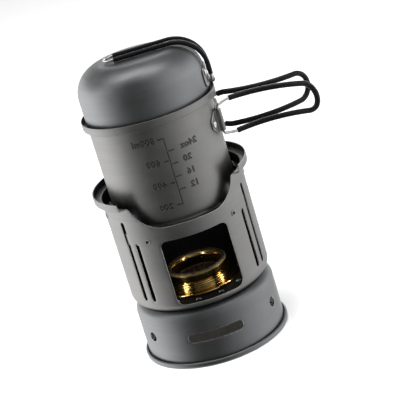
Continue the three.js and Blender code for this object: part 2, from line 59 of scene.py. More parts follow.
AXIS = Vector(((pot_low.x + pot_high.x) / 2, (pot_low.y + pot_high.y) / 2, 0.0))


def reach(node):
    """Outer radius of a node about the axis."""
    return max((v.co - AXIS).to_2d().length for v in frame["nodes"][node].data.vertices) / MM


def low(node):
    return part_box(node)[0].z / MM


def high(node):
    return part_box(node)[1].z / MM


def joint_place(name):
    joint = next(j for j in frame["joints"] if j["name"] == name)
    return (Vector(joint["pos_m"]) - AXIS) / MM


# ---- sizes that the frame's boxes don't state ----
ROUND_STEPS = 240  # facets around a shell
FINE = 0.28  # radius of a cut edge
SCREEN_TURN = 6.0  # the windscreen stands turned a little on its base, in degrees
STAND_SHEET = 0.9
SCREEN_SHEET = 1.0
STAND_WALL = 64.2  # outer radius of the stand's wall
SCREEN_WALL = 64.3  # outer radius of the windscreen's wall
BURNER_HOLE = 33.4
POT_WALL = 56.0
SPUN_WALL = 0.8  # sheet of the pot, the lid and the burner
SUPPORT_SHEET = 1.0
POT_BRACKET_SHEET = 1.1
LID_BRACKET_SHEET = 1.0
PLATE_GAP = 0.15  # between a bracket and the wall it is riveted to
WIRE = 1.3  # radius of the handle wires
GRIP_SLEEVE = 2.5
LID_SLEEVE = 2.1
HINGE_GAP = 0.3
SHARP_EDGE = math.radians(32.0)  # faces that meet at more than this keep a crisp edge


def about_axis(radius, angle, height):
    """Point at an angle in radians from the front."""
    return (radius * math.sin(angle), -radius * math.cos(angle), height)


# ---- outlines ----
def arc(centre_x, centre_y, radius, start, end, steps):
    """Points of an arc, angles in degrees."""
    angles = np.radians(np.linspace(start, end, steps + 1))
    return [(centre_x + radius * math.cos(a), centre_y + radius * math.sin(a)) for a in angles]


def run(start, end, step):
    """Points from start to end, spaced by about step."""
    start, end = np.array(start, float), np.array(end, float)
    count = max(1, round(np.linalg.norm(end - start) / step))
    return [tuple(start + (end - start) * i / count) for i in range(count + 1)]


def chained(*runs):
    """Joins runs of points, leaving out those that repeat."""
    points = []
    for stretch in runs:
        for point in stretch:
            if not points or math.dist(points[-1], point) > 1e-4:
                points.append(tuple(point))
    return points


def bezier(*controls, steps=12):
    """Points of a Bezier curve through any number of control points."""
    points = []
    for t in np.linspace(0, 1, steps + 1):
        layer = [np.array(c, float) for c in controls]
        while len(layer) > 1:
            layer = [a * (1 - t) + b * t for a, b in zip(layer, layer[1:])]
        points.append(tuple(layer[0]))
    return points


def rounded(corners, steps=6):
    """A closed outline from (x, y, corner radius) points."""
    points = []
    count = len(corners)
    for i, (x, y, radius) in enumerate(corners):
        here = np.array((x, y), float)
        before = np.array(corners[i - 1][:2], float) - here
        after = np.array(corners[(i + 1) % count][:2], float) - here
        before, after = before / np.linalg.norm(before), after / np.linalg.norm(after)
        half = math.acos(float(np.clip(before @ after, -1, 1))) / 2
        if radius <= 0:
            points.append((x, y))
            continue
        reach_along = radius / math.tan(half)
        points += bezier(here + before * reach_along, here + before * reach_along * 0.45,
                         here + after * reach_along * 0.45, here + after * reach_along, steps=steps)
    return points


def stepped(outline, step):
    """Adds points to a closed outline so that none are further apart than step."""
    closed = list(outline) + [outline[0]]
    return chained(*[run(a, b, step) for a, b in zip(closed, closed[1:])])[:-1]


def rounded_box(half_width, bottom, top, radius, steps=8):
    """Outline of a window or a slot, as (x, z) points."""
    corners = ((-half_width, bottom), (half_width, bottom), (half_width, top), (-half_width, top))
    return stepped(rounded([(x, z, radius) for x, z in corners], steps), 1.7)


def circle(centre_x, centre_y, radius, steps=24):
    return arc(centre_x, centre_y, radius, 0, 360, steps)[:-1]


class Path:
    """The middle line of a sheet in section. Its right-hand side is the sheet's outer skin."""

    def __init__(self, points):
        self.points = np.array(points, float)
        steps = np.diff(self.points, axis=0)
        lengths = np.linalg.norm(steps, axis=1)
        self.stations = np.concatenate([[0], np.cumsum(lengths)])
        self.length = self.stations[-1]
        along = steps / lengths[:, None]
        tangents = np.vstack([along[:1], along[:-1] + along[1:], along[-1:]])
        self.tangents = tangents / np.linalg.norm(tangents, axis=1)[:, None]

    def at(self, station, depth=0.0):
        """Point at a distance along the path, depth towards the outer skin."""
        inside = min(max(station, 0.0), self.length)
        point = np.array([np.interp(inside, self.stations, self.points[:, i]) for i in (0, 1)])
        tangent = np.array([np.interp(inside, self.stations, self.tangents[:, i]) for i in (0, 1)])
        normal = np.array((tangent[1], -tangent[0]))
        return point + tangent * (station - inside) + normal * depth

    def station_of_height(self, height, first, last):
        """Distance along the path where its second coordinate is height, between two stations."""
        chosen = (self.stations >= first - 1e-6) & (self.stations <= last + 1e-6)
        return float(np.interp(height, self.points[chosen, 1], self.stations[chosen]))


# ---- sheet metal with openings ----
def inside(points, outline):
    """Whether each 2-D point is inside a closed outline."""
    x, y = points[:, 0], points[:, 1]
    result = np.zeros(len(points), bool)
    for (ax, ay), (bx, by) in zip(outline, list(outline[1:]) + [outline[0]]):
        if ay != by:
            crosses = ((ay > y) != (by > y)) & (x < (bx - ax) * (y - ay) / (by - ay) + ax)
            result ^= crosses
    return result


def cut_sheet(outline, openings, grid, place, thickness, period=None, clearance=0.8):
    """Mesh of a sheet laid out flat, with openings and rounded cut edges.

    place(along, across, depth) gives the finished position of a flat point. With a period, the
    outline's left and right sides are the same seam. The mesh's third item lists the faces of the
    cut edges.
    """
    coords, edges = [], []
    for loop in [outline, *openings]:
        start = len(coords)
        coords += [tuple(point) for point in loop]
        edges += [(start + i, start + (i + 1) % len(loop)) for i in range(len(loop))]
    grid = np.array(grid, float)
    keep = inside(grid, outline)
    for loop in openings:
        keep &= ~inside(grid, loop)
    grid = grid[keep]
    fixed = np.array(coords)
    for start in range(0, len(fixed), 100):
        gaps = np.linalg.norm(grid[:, None] - fixed[None, start:start + 100], axis=2).min(axis=1)
        grid = grid[gaps > clearance]
    coords += [tuple(point) for point in grid]
    flat, _, faces, *_ = geometry.delaunay_2d_cdt([Vector(c) for c in coords], edges, [], 0, 1e-5)
    flat = np.array([tuple(v) for v in flat])
    faces = np.array([face for face in faces if len(face) == 3])
    centres = flat[faces].mean(axis=1)
    keep = inside(centres, outline)
    for loop in openings:
        keep &= ~inside(centres, loop)
    faces = faces[keep]
    a, b, c = (flat[faces[:, i]] for i in range(3))
    area = (b[:, 0] - a[:, 0]) * (c[:, 1] - a[:, 1]) - (b[:, 1] - a[:, 1]) * (c[:, 0] - a[:, 0])
    faces[area < 0] = faces[area < 0][:, ::-1]
    same = seam_partners(flat, period)
    return thickened(flat, faces, same, place, thickness)


def seam_partners(flat, period):
    """Index of the vertex that stands for each vertex once the seam is joined."""
    same = np.arange(len(flat))
    if period is not None:
        left = np.where(flat[:, 0] < 1e-4)[0]
        for i in np.where(flat[:, 0] > period - 1e-4)[0]:
            same[i] = left[np.argmin(abs(flat[left, 1] - flat[i, 1]))]
    return same


def thickened(flat, faces, same, place, thickness):
    """Gives a flat triangulation its two skins and the rounded edges that join them."""
    half = thickness / 2
    joined = same[faces]
    used = {}
    for face, raw in zip(joined.tolist(), faces.tolist()):
        for i in range(3):
            used[(face[i], face[(i + 1) % 3])] = (raw[i], raw[(i + 1) % 3])
    rims = {pair: raw for pair, raw in used.items() if pair[::-1] not in used}
    outward = {}
    for (a, b), (raw_a, raw_b) in rims.items():
        step = flat[raw_b] - flat[raw_a]
        normal = np.array((step[1], -step[0])) / max(np.linalg.norm(step), 1e-9)
        outward[a] = outward.get(a, 0) + normal
        outward[b] = outward.get(b, 0) + normal
    edge = min(FINE, half * 0.9)
    quarter = np.radians((0, 35, 65, 90))
    profile = [(edge * math.sin(q), half - edge * (1 - math.cos(q))) for q in quarter]
    profile += [(offset, -depth) for offset, depth in reversed(profile)]

    verts, index = [], {}

    def vertex(key, along, across, depth):
        if key not in index:
            index[key] = len(verts)
            verts.append(place(along, across, depth))
        return index[key]

    def skin_vertex(i, depth, ring):
        return vertex((i, ring), flat[i][0], flat[i][1], depth)

    last = len(profile) - 1
    mesh_faces, edge_faces = [], []
    for face in joined.tolist():
        mesh_faces.append([skin_vertex(i, half, 0) for i in face])
        mesh_faces.append([skin_vertex(i, -half, last) for i in reversed(face)])

    def rim_vertex(i, ring):
        offset, depth = profile[ring]
        normal = outward[i] / max(np.linalg.norm(outward[i]), 1e-9)
        return vertex((i, ring), flat[i][0] + normal[0] * offset, flat[i][1] + normal[1] * offset, depth)

    for a, b in rims:
        for ring in range(last):
            edge_faces.append(len(mesh_faces))
            mesh_faces.append([rim_vertex(b, ring), rim_vertex(a, ring),
                               rim_vertex(a, ring + 1), rim_vertex(b, ring + 1)])
    return verts, mesh_faces, edge_faces


def spun(path, wall, start):
    """Wraps flat points round the axis. A flat distance is measured at radius wall, from azimuth start."""
    def place(along, across, depth):
        radius, height = path.at(across, depth)
        return about_axis(radius, along / wall + math.radians(start), height)

    return place


def wall_loop(path, flat, wall_ends, azimuth, outline):
    """Lays an (x, z) outline flat. wall_ends are the stations between which the wall rises."""
    loop = []
    for x, z in outline:
        across = path.station_of_height(z, *wall_ends)
        turn = math.asin(x / path.at(across)[0])
        loop.append((flat(azimuth) + turn * path.points[:, 0].max(), across))
    return loop


def round_shell(points, thickness, openings, seam=180.0, turn=0.0, columns=ROUND_STEPS):
    """A sheet shell spun about the axis. openings(path, flat) lists its holes as flat loops."""
    path = Path(points)
    wall = path.points[:, 0].max()
    period = 2 * math.pi * wall

    def flat(azimuth):
        return math.radians((azimuth - seam) % 360) * wall

    across = list(path.stations)
    along = np.linspace(0, period, columns + 1)
    outline = [(x, 0.0) for x in along]
    outline += [(period, y) for y in across[1:-1]]
    outline += [(x, path.length) for x in reversed(along)]
    outline += [(0.0, y) for y in reversed(across[1:-1])]
    grid = [(x, y) for x in along[1:-1] for y in across[1:-1]]
    return cut_sheet(outline, openings(path, flat), grid, spun(path, wall, seam + turn), thickness, period)


# ---- turned solids ----
def turned(outline, steps=ROUND_STEPS):
    """A closed (radius, height) outline spun about the axis."""
    verts, rings = [], []
    for radius, height in outline:
        if radius < 1e-6:
            rings.append([len(verts)] * steps)
            verts.append((0.0, 0.0, height))
            continue
        rings.append(list(range(len(verts), len(verts) + steps)))
        verts += [about_axis(radius, 2 * math.pi * i / steps, height) for i in range(steps)]
    faces = []
    for ring, following in zip(rings, rings[1:] + rings[:1]):
        for i in range(steps):
            j = (i + 1) % steps
            face = list(dict.fromkeys((ring[i], ring[j], following[j], following[i])))
            if len(face) > 2:
                faces.append(face)
    return verts, faces, []


# ---- wires and sleeves ----
def swept(rings, closed=False, steps=20):
    """Quads through a list of (centre, side, up, radius) rings."""
    verts, faces = [], []
    for centre, side, up, radius in rings:
        for i in range(steps):
            angle = 2 * math.pi * i / steps
            verts.append(centre + (side * math.cos(angle) + up * math.sin(angle)) * radius)
    count = len(rings)
    for k in range(count if closed else count - 1):
        for i in range(steps):
            j = (i + 1) % steps
            a, b = k * steps, (k + 1) % count * steps
            faces.append((a + i, a + j, b + j, b + i))
    if not closed:
        faces.append(tuple(reversed(range(steps))))
        faces.append(tuple(range((count - 1) * steps, count * steps)))
    return [tuple(v) for v in verts], faces, []


def stations(points):
    """(point, tangent, side, up) along a polyline, carried without twist."""
    points = [Vector(p) for p in points]
    tangents = []
    for i in range(len(points)):
        tangents.append((points[min(i + 1, len(points) - 1)] - points[max(i - 1, 0)]).normalized())
    side = tangents[0].orthogonal().normalized()
    result = []
    for point, tangent in zip(points, tangents):
        side = (side - tangent * side.dot(tangent)).normalized()
        result.append((point, tangent, side, tangent.cross(side)))
    return result


ROUND_END = [math.radians(a) for a in (8, 30, 55, 75, 90)]


def wire(points, radius):
    """A round wire with domed ends."""
    frames = stations(points)
    point, tangent, side, up = frames[0]
    rings = [(point - tangent * radius * math.cos(a), side, up, radius * math.sin(a)) for a in ROUND_END]
    rings += [(p, s, u, radius) for p, _, s, u in frames[1:-1]]
    point, tangent, side, up = frames[-1]
    rings += [(point + tangent * radius * math.cos(a), side, up, radius * math.sin(a))
              for a in reversed(ROUND_END)]
    return swept(rings)


def sleeve(points, outer, inner):
    """A tube drawn over a wire, with softened ends."""
    frames = stations(points)
    soft = (outer - inner) * 0.6
    point, tangent, side, up = frames[0]
    rings = [(point + tangent * soft * (1 - math.sin(a)), side, up, outer - soft * (1 - math.cos(a)))
             for a in np.radians((80, 50, 20, 0))]
    rings.sort(key=lambda ring: (ring[0] - point).dot(tangent))
    rings += [(p, s, u, outer) for p, _, s, u in frames[1:-1]]
    point, tangent, side, up = frames[-1]
    rings += [(point - tangent * soft * (1 - math.sin(a)), side, up, outer - soft * (1 - math.cos(a)))
              for a in np.radians((0, 20, 50, 80))]
    rings += [(p, s, u, inner) for p, _, s, u in reversed(frames)]
    return swept(rings, closed=True)


# ---- pieces ----
def placed(name, data):
    """A new object in the scene."""
    thing = bpy.data.objects.new(name, data)
    bpy.context.scene.collection.objects.link(thing)
    return thing


def closed_mesh(name, verts, faces, weld=False):
    """Mesh from points in mm about the axis, with its faces turned outwards."""
    mesh = bpy.data.meshes.new(name)
    mesh.from_pydata([Vector(v) * MM + AXIS for v in verts], [], faces)
    build = bmesh.new()
    build.from_mesh(mesh)
    if weld:
        bmesh.ops.remove_doubles(build, verts=build.verts, dist=1e-6)
    bmesh.ops.recalc_face_normals(build, faces=build.faces)
    build.to_mesh(mesh)
    build.free()
    return mesh


def evaluated_mesh(thing):
    """Mesh of an object with its modifiers, or its text, worked out."""
    bpy.context.view_layer.update()
    return bpy.data.meshes.new_from_object(thing.evaluated_get(bpy.context.evaluated_depsgraph_get()))


def make_piece(name, mesh_data, materials, body, node):
    """Makes one visible piece from (points, faces, cut-edge faces), in place of a node of the frame."""
    verts, faces, edge_faces = mesh_data
    mesh = closed_mesh(name, verts, faces)
    for material in materials:
        mesh.materials.append(material)
    for i in edge_faces:
        mesh.polygons[i].material_index = len(materials) - 1
    mesh.shade_smooth()
    mesh.set_sharp_from_angle(angle=SHARP_EDGE)
    piece = placed(name, mesh)
    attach(piece, body)
    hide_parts(node)
    return piece


def boolean(piece, mesh_data, operation):
    """Cuts or joins a piece with another closed mesh."""
    verts, faces, _ = mesh_data
    tool = placed("tool", closed_mesh("tool", verts, faces, weld=True))
    modifier = piece.modifiers.new("boolean", "BOOLEAN")
    modifier.operation = operation
    modifier.object = tool
    modifier.solver = "MANIFOLD"
    result = evaluated_mesh(piece)
    piece.modifiers.clear()
    piece.data = result
    bpy.data.objects.remove(tool)


# ---- node materials ----
def feed(tree, socket, value):
    """Links a socket, or sets its value."""
    if isinstance(value, bpy.types.NodeSocket):
        tree.links.new(value, socket)
    else:
        socket.default_value = value


def add_node(tree, kind, inputs, **settings):
    node = tree.nodes.new("ShaderNode" + kind)
    for key, value in settings.items():
        setattr(node, key, value)
    for key, value in inputs.items():
        feed(tree, node.inputs[key], value)
    return node


class Shader:
    """A material being wired up, one node per call."""

    def __init__(self, name):
        self.material = bpy.data.materials.new(name)
        self.material.use_nodes = True
        self.tree = self.material.node_tree
        self.principled = self.tree.nodes["Principled BSDF"]

    def node(self, kind, inputs, **settings):
        return add_node(self.tree, kind, inputs, **settings)

    def math(self, operation, a, b=0.0, clamp=False):
        return self.node("Math", {0: a, 1: b}, operation=operation, use_clamp=clamp).outputs[0]

    def add(self, a, b):
        return self.math("ADD", a, b)

    def times(self, a, b, clamp=False):
        return self.math("MULTIPLY", a, b, clamp)

    def vector(self, operation, a, b=(0.0, 0.0, 0.0)):
        return self.node("VectorMath", {0: a, 1: b}, operation=operation).outputs

    def noise(self, vector, scale, detail=2.0, roughness=0.5):
        inputs = {"Vector": vector, "Scale": scale, "Detail": detail, "Roughness": roughness}
        return self.node("TexNoise", inputs).outputs["Fac"]

    def ramp(self, value, low_at, low_value, high_at, high_value):
        inputs = {"Value": value, "From Min": low_at, "From Max": high_at,
                  "To Min": low_value, "To Max": high_value}
        return self.node("MapRange", inputs, interpolation_type="SMOOTHSTEP").outputs[0]

    def mix(self, share, a, b):
        return self.node("Mix", {"Factor": share, 6: a, 7: b}, data_type="RGBA").outputs[2]

    def place(self):
        """Point from the foot of the stove's axis, in metres."""
        return self.vector("SUBTRACT", self.node("TexCoord", {}).outputs["Object"], AXIS)[0]

    def section(self, about):
        """(point with radius and height only, height in mm), so that a noise makes rings."""
        x, y, z = self.node("SeparateXYZ", {0: about}).outputs
        radius = self.math("SQRT", self.add(self.times(x, x), self.times(y, y)))
        drift = self.times(x, 0.015)
        return self.node("CombineXYZ", {0: radius, 1: drift, 2: z}).outputs[0], self.math("DIVIDE", z, MM)

    def facing_centre(self, about, centre):
        """1 on a shell's inner skin, which looks towards a height on the axis, and 0 on its outer skin."""
        toward = self.vector("SUBTRACT", (0.0, 0.0, centre * MM), about)[0]
        unit = self.vector("NORMALIZE", toward)[0]
        normal = self.node("NewGeometry", {}).outputs["True Normal"]
        return self.ramp(self.vector("DOT_PRODUCT", unit, normal)[1], 0.0, 0.0, 0.1, 1.0)

    def bump(self, height, distance, strength=1.0, normal=None):
        inputs = {"Height": height, "Distance": distance, "Strength": strength}
        if normal is not None:
            inputs["Normal"] = normal
        return self.node("Bump", inputs).outputs[0]

    def finish(self, **inputs):
        """Feeds the surface's inputs, named with _ for each space."""
        for key, value in inputs.items():
            feed(self.tree, self.principled.inputs[key.replace("_", " ")], value)
        return self.material


def grey(value, warmth=0.0):
    """Linear colour of a metal, warmer above 0 and bluer below."""
    return (value * (1 + warmth), value, value * (1 - warmth), 1.0)


def anodised(name, tone, warmth, roughness, centre, soot_and_painted_shade):
    """Matt anodised aluminium, spun on a lathe: fine rings, a grain, handling marks, and painted shade that
    darkens the inner skin.
    """
    shader = Shader(name)
    about = shader.place()
    section, _ = shader.section(about)
    rings = shader.noise(section, 900.0, 3.0, 0.7)
    broad = shader.noise(section, 90.0, 1.0)
    grain = shader.noise(about, 2600.0, 2.0, 0.6)
    smudges = shader.ramp(shader.noise(about, 32.0, 4.0, 0.62), 0.35, 0.0, 0.7, 1.0)
    scuffs = shader.ramp(shader.noise(about, 260.0, 5.0, 0.7), 0.62, 0.0, 0.74, 1.0)
    shade = shader.mix(smudges, grey(tone * 0.93, warmth * 0.6), grey(tone * 1.06, warmth * 1.3))
    shade = shader.mix(shader.times(scuffs, 0.25), shade, grey(tone * 1.35, warmth))
    shade = shader.mix(shader.ramp(broad, 0.3, 0.0, 0.7, 0.16), shade, grey(tone * 0.8, warmth))
    # Painted shade: the inner skin, which faces a height on the axis, is darkened towards near black by the
    # given share.
    within = shader.times(shader.facing_centre(about, centre), soot_and_painted_shade)
    shade = shader.mix(within, shade, grey(0.012, 0.02))
    worn = shader.add(shader.times(smudges, 0.07), shader.times(scuffs, -0.06))
    worn = shader.add(worn, shader.times(within, 0.25))
    rough = shader.add(shader.ramp(rings, 0.3, roughness - 0.03, 0.7, roughness + 0.04), worn)
    normal = shader.bump(grain, 0.000012, 0.5, shader.bump(rings, 0.00002, 0.5))
    return shader.finish(Base_Color=shade, Metallic=1.0, Roughness=rough, Normal=normal)


def bare_edge(name):
    """Cut edge of the sheet, bright from deburring."""
    shader = Shader(name)
    marks = shader.noise(shader.place(), 700.0, 3.0, 0.6)
    shade = shader.mix(marks, grey(0.42), grey(0.62))
    rough = shader.ramp(marks, 0.3, 0.3, 0.7, 0.45)
    normal = shader.bump(marks, 0.00003, 0.4)
    return shader.finish(Base_Color=shade, Metallic=1.0, Roughness=rough, Normal=normal)


def drawn_steel(name, tone, roughness, stretch=(1.0, 1.0, 1.0)):
    """Bright stainless steel with fine drawing lines and handling marks."""
    shader = Shader(name)
    about = shader.place()
    lines = shader.noise(shader.vector("MULTIPLY", about, stretch)[0], 1500.0, 4.0, 0.7)
    prints = shader.ramp(shader.noise(about, 120.0, 3.0, 0.6), 0.4, 0.0, 0.7, 1.0)
    shade = shader.mix(prints, grey(tone * 0.9, 0.01), grey(tone * 1.05, 0.02))
    rough = shader.ramp(lines, 0.3, roughness - 0.04, 0.7, roughness + 0.06)
    rough = shader.add(rough, shader.times(prints, 0.06))
    normal = shader.bump(lines, 0.00002, 0.35)
    return shader.finish(Base_Color=shade, Metallic=1.0, Roughness=rough, Normal=normal)


def tarnished_brass(name, soot_from, soot_to, black_below):
    """Lathe-turned brass, browned by heat, with soot that thickens between two heights, and painted shade,
    near black, under a third.
    """
    shader = Shader(name)
    about = shader.place()
    section, height = shader.section(about)
    rings = shader.noise(section, 700.0, 3.0, 0.7)
    stain = shader.ramp(shader.noise(about, 55.0, 5.0, 0.65), 0.38, 0.0, 0.68, 1.0)
    shade = shader.mix(stain, (0.72, 0.52, 0.19, 1.0), (0.42, 0.23, 0.07, 1.0))
    shade = shader.mix(shader.ramp(rings, 0.45, 0.0, 0.8, 0.3), shade, (0.8, 0.6, 0.25, 1.0))
    flecks = shader.noise(about, 300.0, 4.0, 0.7)
    soot_and_painted_shade = shader.ramp(height, soot_from, 0.0, soot_to, 1.0)
    # Painted shade: the brass under black_below is blackened the same way as the soot, for the parts that lie
    # out of the light.
    soot_and_painted_shade = shader.add(soot_and_painted_shade, shader.ramp(height, black_below - 2.0, 1.0, black_below, 0.0))
    soot_and_painted_shade = shader.times(soot_and_painted_shade, shader.ramp(flecks, 0.25, 0.7, 0.6, 1.0), clamp=True)
    shade = shader.mix(soot_and_painted_shade, shade, (0.018, 0.015, 0.013, 1.0))
    rough = shader.add(shader.ramp(rings, 0.3, 0.11, 0.7, 0.19), shader.times(soot_and_painted_shade, 0.5))
    metal = shader.math("SUBTRACT", 1.0, shader.times(soot_and_painted_shade, 0.8))
    normal = shader.bump(rings, 0.00004, 0.5)
    return shader.finish(Base_Color=shade, Metallic=metal, Roughness=rough, Normal=normal)


def black_sleeve(name):
    """Black heat sleeve with a low sheen, faint ripples and scuffs."""
    shader = Shader(name)
    about = shader.place()
    ripple = shader.noise(about, 220.0, 2.0)
    scuffs = shader.ramp(shader.noise(about, 500.0, 4.0, 0.7), 0.55, 0.0, 0.75, 1.0)
    shade = shader.mix(scuffs, (0.004, 0.004, 0.0045, 1.0), (0.02, 0.02, 0.021, 1.0))
    rough = shader.ramp(scuffs, 0.0, 0.2, 1.0, 0.42)
    return shader.finish(Base_Color=shade, Roughness=rough, Normal=shader.bump(ripple, 0.00015, 0.5),
                         Specular_IOR_Level=0.22, Coat_Weight=0.12, Coat_Roughness=0.1)


def cotton_wick(name):
    """Twisted cotton, stained by spirit."""
    shader = Shader(name)
    about = shader.place()
    strands = shader.noise(shader.section(about)[0], 1400.0, 3.0, 0.7)
    fuzz = shader.noise(about, 1800.0, 4.0, 0.7)
    shade = shader.mix(strands, (0.35, 0.28, 0.19, 1.0), (0.72, 0.66, 0.55, 1.0))
    normal = shader.bump(shader.add(strands, fuzz), 0.0004, 0.8)
    return shader.finish(Base_Color=shade, Roughness=0.95, Normal=normal)


# The last two numbers: the height on the axis that a shell's inner skin faces, and the share of painted shade
# that darkens that skin.
stand_skin = anodised("anodised_stand", 0.25, -0.025, 0.36, 20.0, 0.85)
screen_skin = anodised("anodised_screen", 0.30, 0.012, 0.40, 110.0, 0.97)
pot_skin = anodised("anodised_pot", 0.30, 0.012, 0.40, 185.0, 0.3)
lid_skin = anodised("anodised_lid", 0.28, -0.03, 0.38, 235.0, 0.3)
# The scale's grooves take a darker tone: painted shade in the recesses.
groove_painted_shade = anodised("stamped_groove", 0.14, 0.012, 0.45, 185.0, 0.0)
cut_edge = bare_edge("bare_edge")
bright_wire = drawn_steel("drawn_wire", 0.72, 0.14)
dull_plate = drawn_steel("dull_plate", 0.34, 0.34, (1.0, 1.0, 0.2))
rivet_metal = drawn_steel("rivet_metal", 0.78, 0.16)
eyelet_metal = drawn_steel("eyelet_metal", 0.36, 0.34)
black = black_sleeve("black_sleeve")
cotton = cotton_wick("cotton")


# ---- stand ----
def stand_mesh():
    """Ring with a curled foot, a straight vented wall and a round shoulder that turns inwards."""
    half = STAND_SHEET / 2
    wall = STAND_WALL - half
    foot = reach("stand_base") - half
    top = high("stand_base") - half
    shoulder, opening, foot_top, foot_bend = 8.6, 48.4, 4.4, 1.3
    curl = (foot - wall) / 2
    bend_steps, curl_steps = 6, 10
    hem_points = bend_steps + curl_steps
    points = chained(
        arc(foot - foot_bend, foot_top - foot_bend, foot_bend, 130, 0, bend_steps),
        arc(wall + curl, half + curl, curl, 0, -180, curl_steps),
        run((wall, half + curl), (wall, top - shoulder), 4.0),
        arc(wall - shoulder, top - shoulder, shoulder, 0, 90, 12),
        run((wall - shoulder, top), (opening, top), 3.0),
    )
    vent_height, slot_half, slot_radius, hole_radius = 28.0, 25.5, 4.75, 5.0

    def openings(path, flat):
        hem_end = path.stations[hem_points]
        wall_ends = hem_end, path.station_of_height(top - shoulder, hem_end, path.length * 0.7)
        slot = rounded_box(slot_half, vent_height - slot_radius, vent_height + slot_radius, slot_radius, 10)
        hole = circle(0, vent_height, hole_radius, 32)
        vents = [(azimuth, slot) for azimuth in (0, 120, 240)]
        vents += [(azimuth, hole) for azimuth in (60, 180, 300)]
        return [wall_loop(path, flat, wall_ends, azimuth, outline) for azimuth, outline in vents]

    return round_shell(points, STAND_SHEET, openings, seam=150.0)


make_piece("stand_shell", stand_mesh(), [stand_skin, cut_edge], "stand", "stand_base")


# ---- windscreen ----
# Azimuth and height of each rivet that holds a pot support.
RIVET_PLACES = {
    "left_1": (-37.6, 124.4), "left_2": (-85.4, 143.4),
    "right_1": (37.6, 124.4), "right_2": (85.4, 143.4),
    "rear_1": (164.0, 124.4), "rear_2": (196.0, 124.4),
}
EYELET_HOLE = 1.9


def windscreen_mesh():
    """Cup with a round floor corner and a wall that steps out to an upright lip."""
    half = SCREEN_SHEET / 2
    wall = SCREEN_WALL - half
    lip = reach("windscreen") - half
    floor = low("windscreen") + half
    corner, bend, lip_bend, lip_height = 9.5, 0.9, 0.8, 7.0
    step = high("windscreen") - lip_height + half
    points = chained(
        run((BURNER_HOLE + half, floor), (wall - corner, floor), 2.0),
        arc(wall - corner, floor + corner, corner, -90, 0, 12),
        run((wall, floor + corner), (wall, step - bend), 4.0),
        arc(wall + bend, step - bend, bend, 180, 90, 5),
        run((wall + bend, step), (lip - lip_bend, step), 1.6),
        arc(lip - lip_bend, step + lip_bend, lip_bend, -90, 0, 5),
        run((lip, step + lip_bend), (lip, high("windscreen") - FINE), 1.8),
    )

    def openings(path, flat):
        wall_start = path.stations[np.argmax(path.points[:, 0] > wall - corner + 1)]
        wall_ends = wall_start, path.station_of_height(step - bend, wall_start, path.length - 12)
        cuts = [(0, rounded_box(30.4, 60.7, 123.0, 6.5))]
        cuts += [(side * azimuth, rounded_box(2.5, 66.0, top, 2.49))
                 for azimuth, top in ((49.0, 123.0), (58.5, 143.0)) for side in (-1, 1)]
        cuts += [(azimuth, circle(0, height, EYELET_HOLE, 20)) for azimuth, height in RIVET_PLACES.values()]
        loops = [wall_loop(path, flat, wall_ends, azimuth, outline) for azimuth, outline in cuts]
        return [*loops, *floor_holes(flat), notch_loop(path, flat, *wall_ends)]

    def floor_holes(flat):
        ring_radius, hole_radius, hole_count = 41.5, 2.6, 12
        holes = []
        for k in range(hole_count):
            centre = 360 * (k + 0.5) / hole_count
            loop = []
            for x, y in circle(0, 0, hole_radius, 20):
                radius = math.hypot(ring_radius + y, x)
                turn = math.degrees(math.atan2(x, ring_radius + y))
                loop.append((flat(centre + turn), radius - BURNER_HOLE - half))
            holes.append(loop)
        return holes

    def notch_loop(path, flat, wall_start, wall_end):
        """The dip in the rim over the window: a low middle, sides that rise, a cut through the lip."""
        dip, rise, shoulder = (path.station_of_height(z, wall_start, wall_end) for z in (135.4, 149.0, 153.4))
        side = chained(
            run((0.0, dip), (20.6, dip), 1.6),
            bezier((20.6, dip), (34.5, dip), (44.5, rise), (46.2, shoulder), steps=18),
            bezier((46.2, shoulder), (47.0, wall_end + 0.5), (49.6, wall_end + 1.5), (50.6, wall_end + 4.5),
                   steps=8),
            run((50.6, wall_end + 4.5), (52.8, path.length + 4.0), 1.5),
        )
        middle = flat(0.0)
        scale = math.radians(1.0) * path.points[:, 0].max()
        right = [(middle + azimuth * scale, across) for azimuth, across in side]
        left = [(middle - azimuth * scale, across) for azimuth, across in reversed(side)]
        return chained(left, right)

    return round_shell(points, SCREEN_SHEET, openings, seam=180.0, turn=SCREEN_TURN)


make_piece("windscreen_shell", windscreen_mesh(), [screen_skin, cut_edge], "windscreen",
           "windscreen")


# ---- pot supports ----
def bent_strip(points, thickness, corners, side):
    """A strip bent round the axis. Its outline is given as (azimuth, distance up, corner radius)."""
    path = Path(points)
    radius = path.points[0, 0]
    scale = math.radians(1.0) * radius
    outline = stepped(rounded([(side * azimuth * scale, across, r) for azimuth, across, r in corners]), 1.5)
    flat = np.array(outline)
    along = np.arange(flat[:, 0].min(), flat[:, 0].max(), 2.0)
    grid = [(x, y) for x in along for y in path.stations[1:-1]]
    return cut_sheet(outline, [], grid, spun(path, radius, SCREEN_TURN), thickness, clearance=0.6)


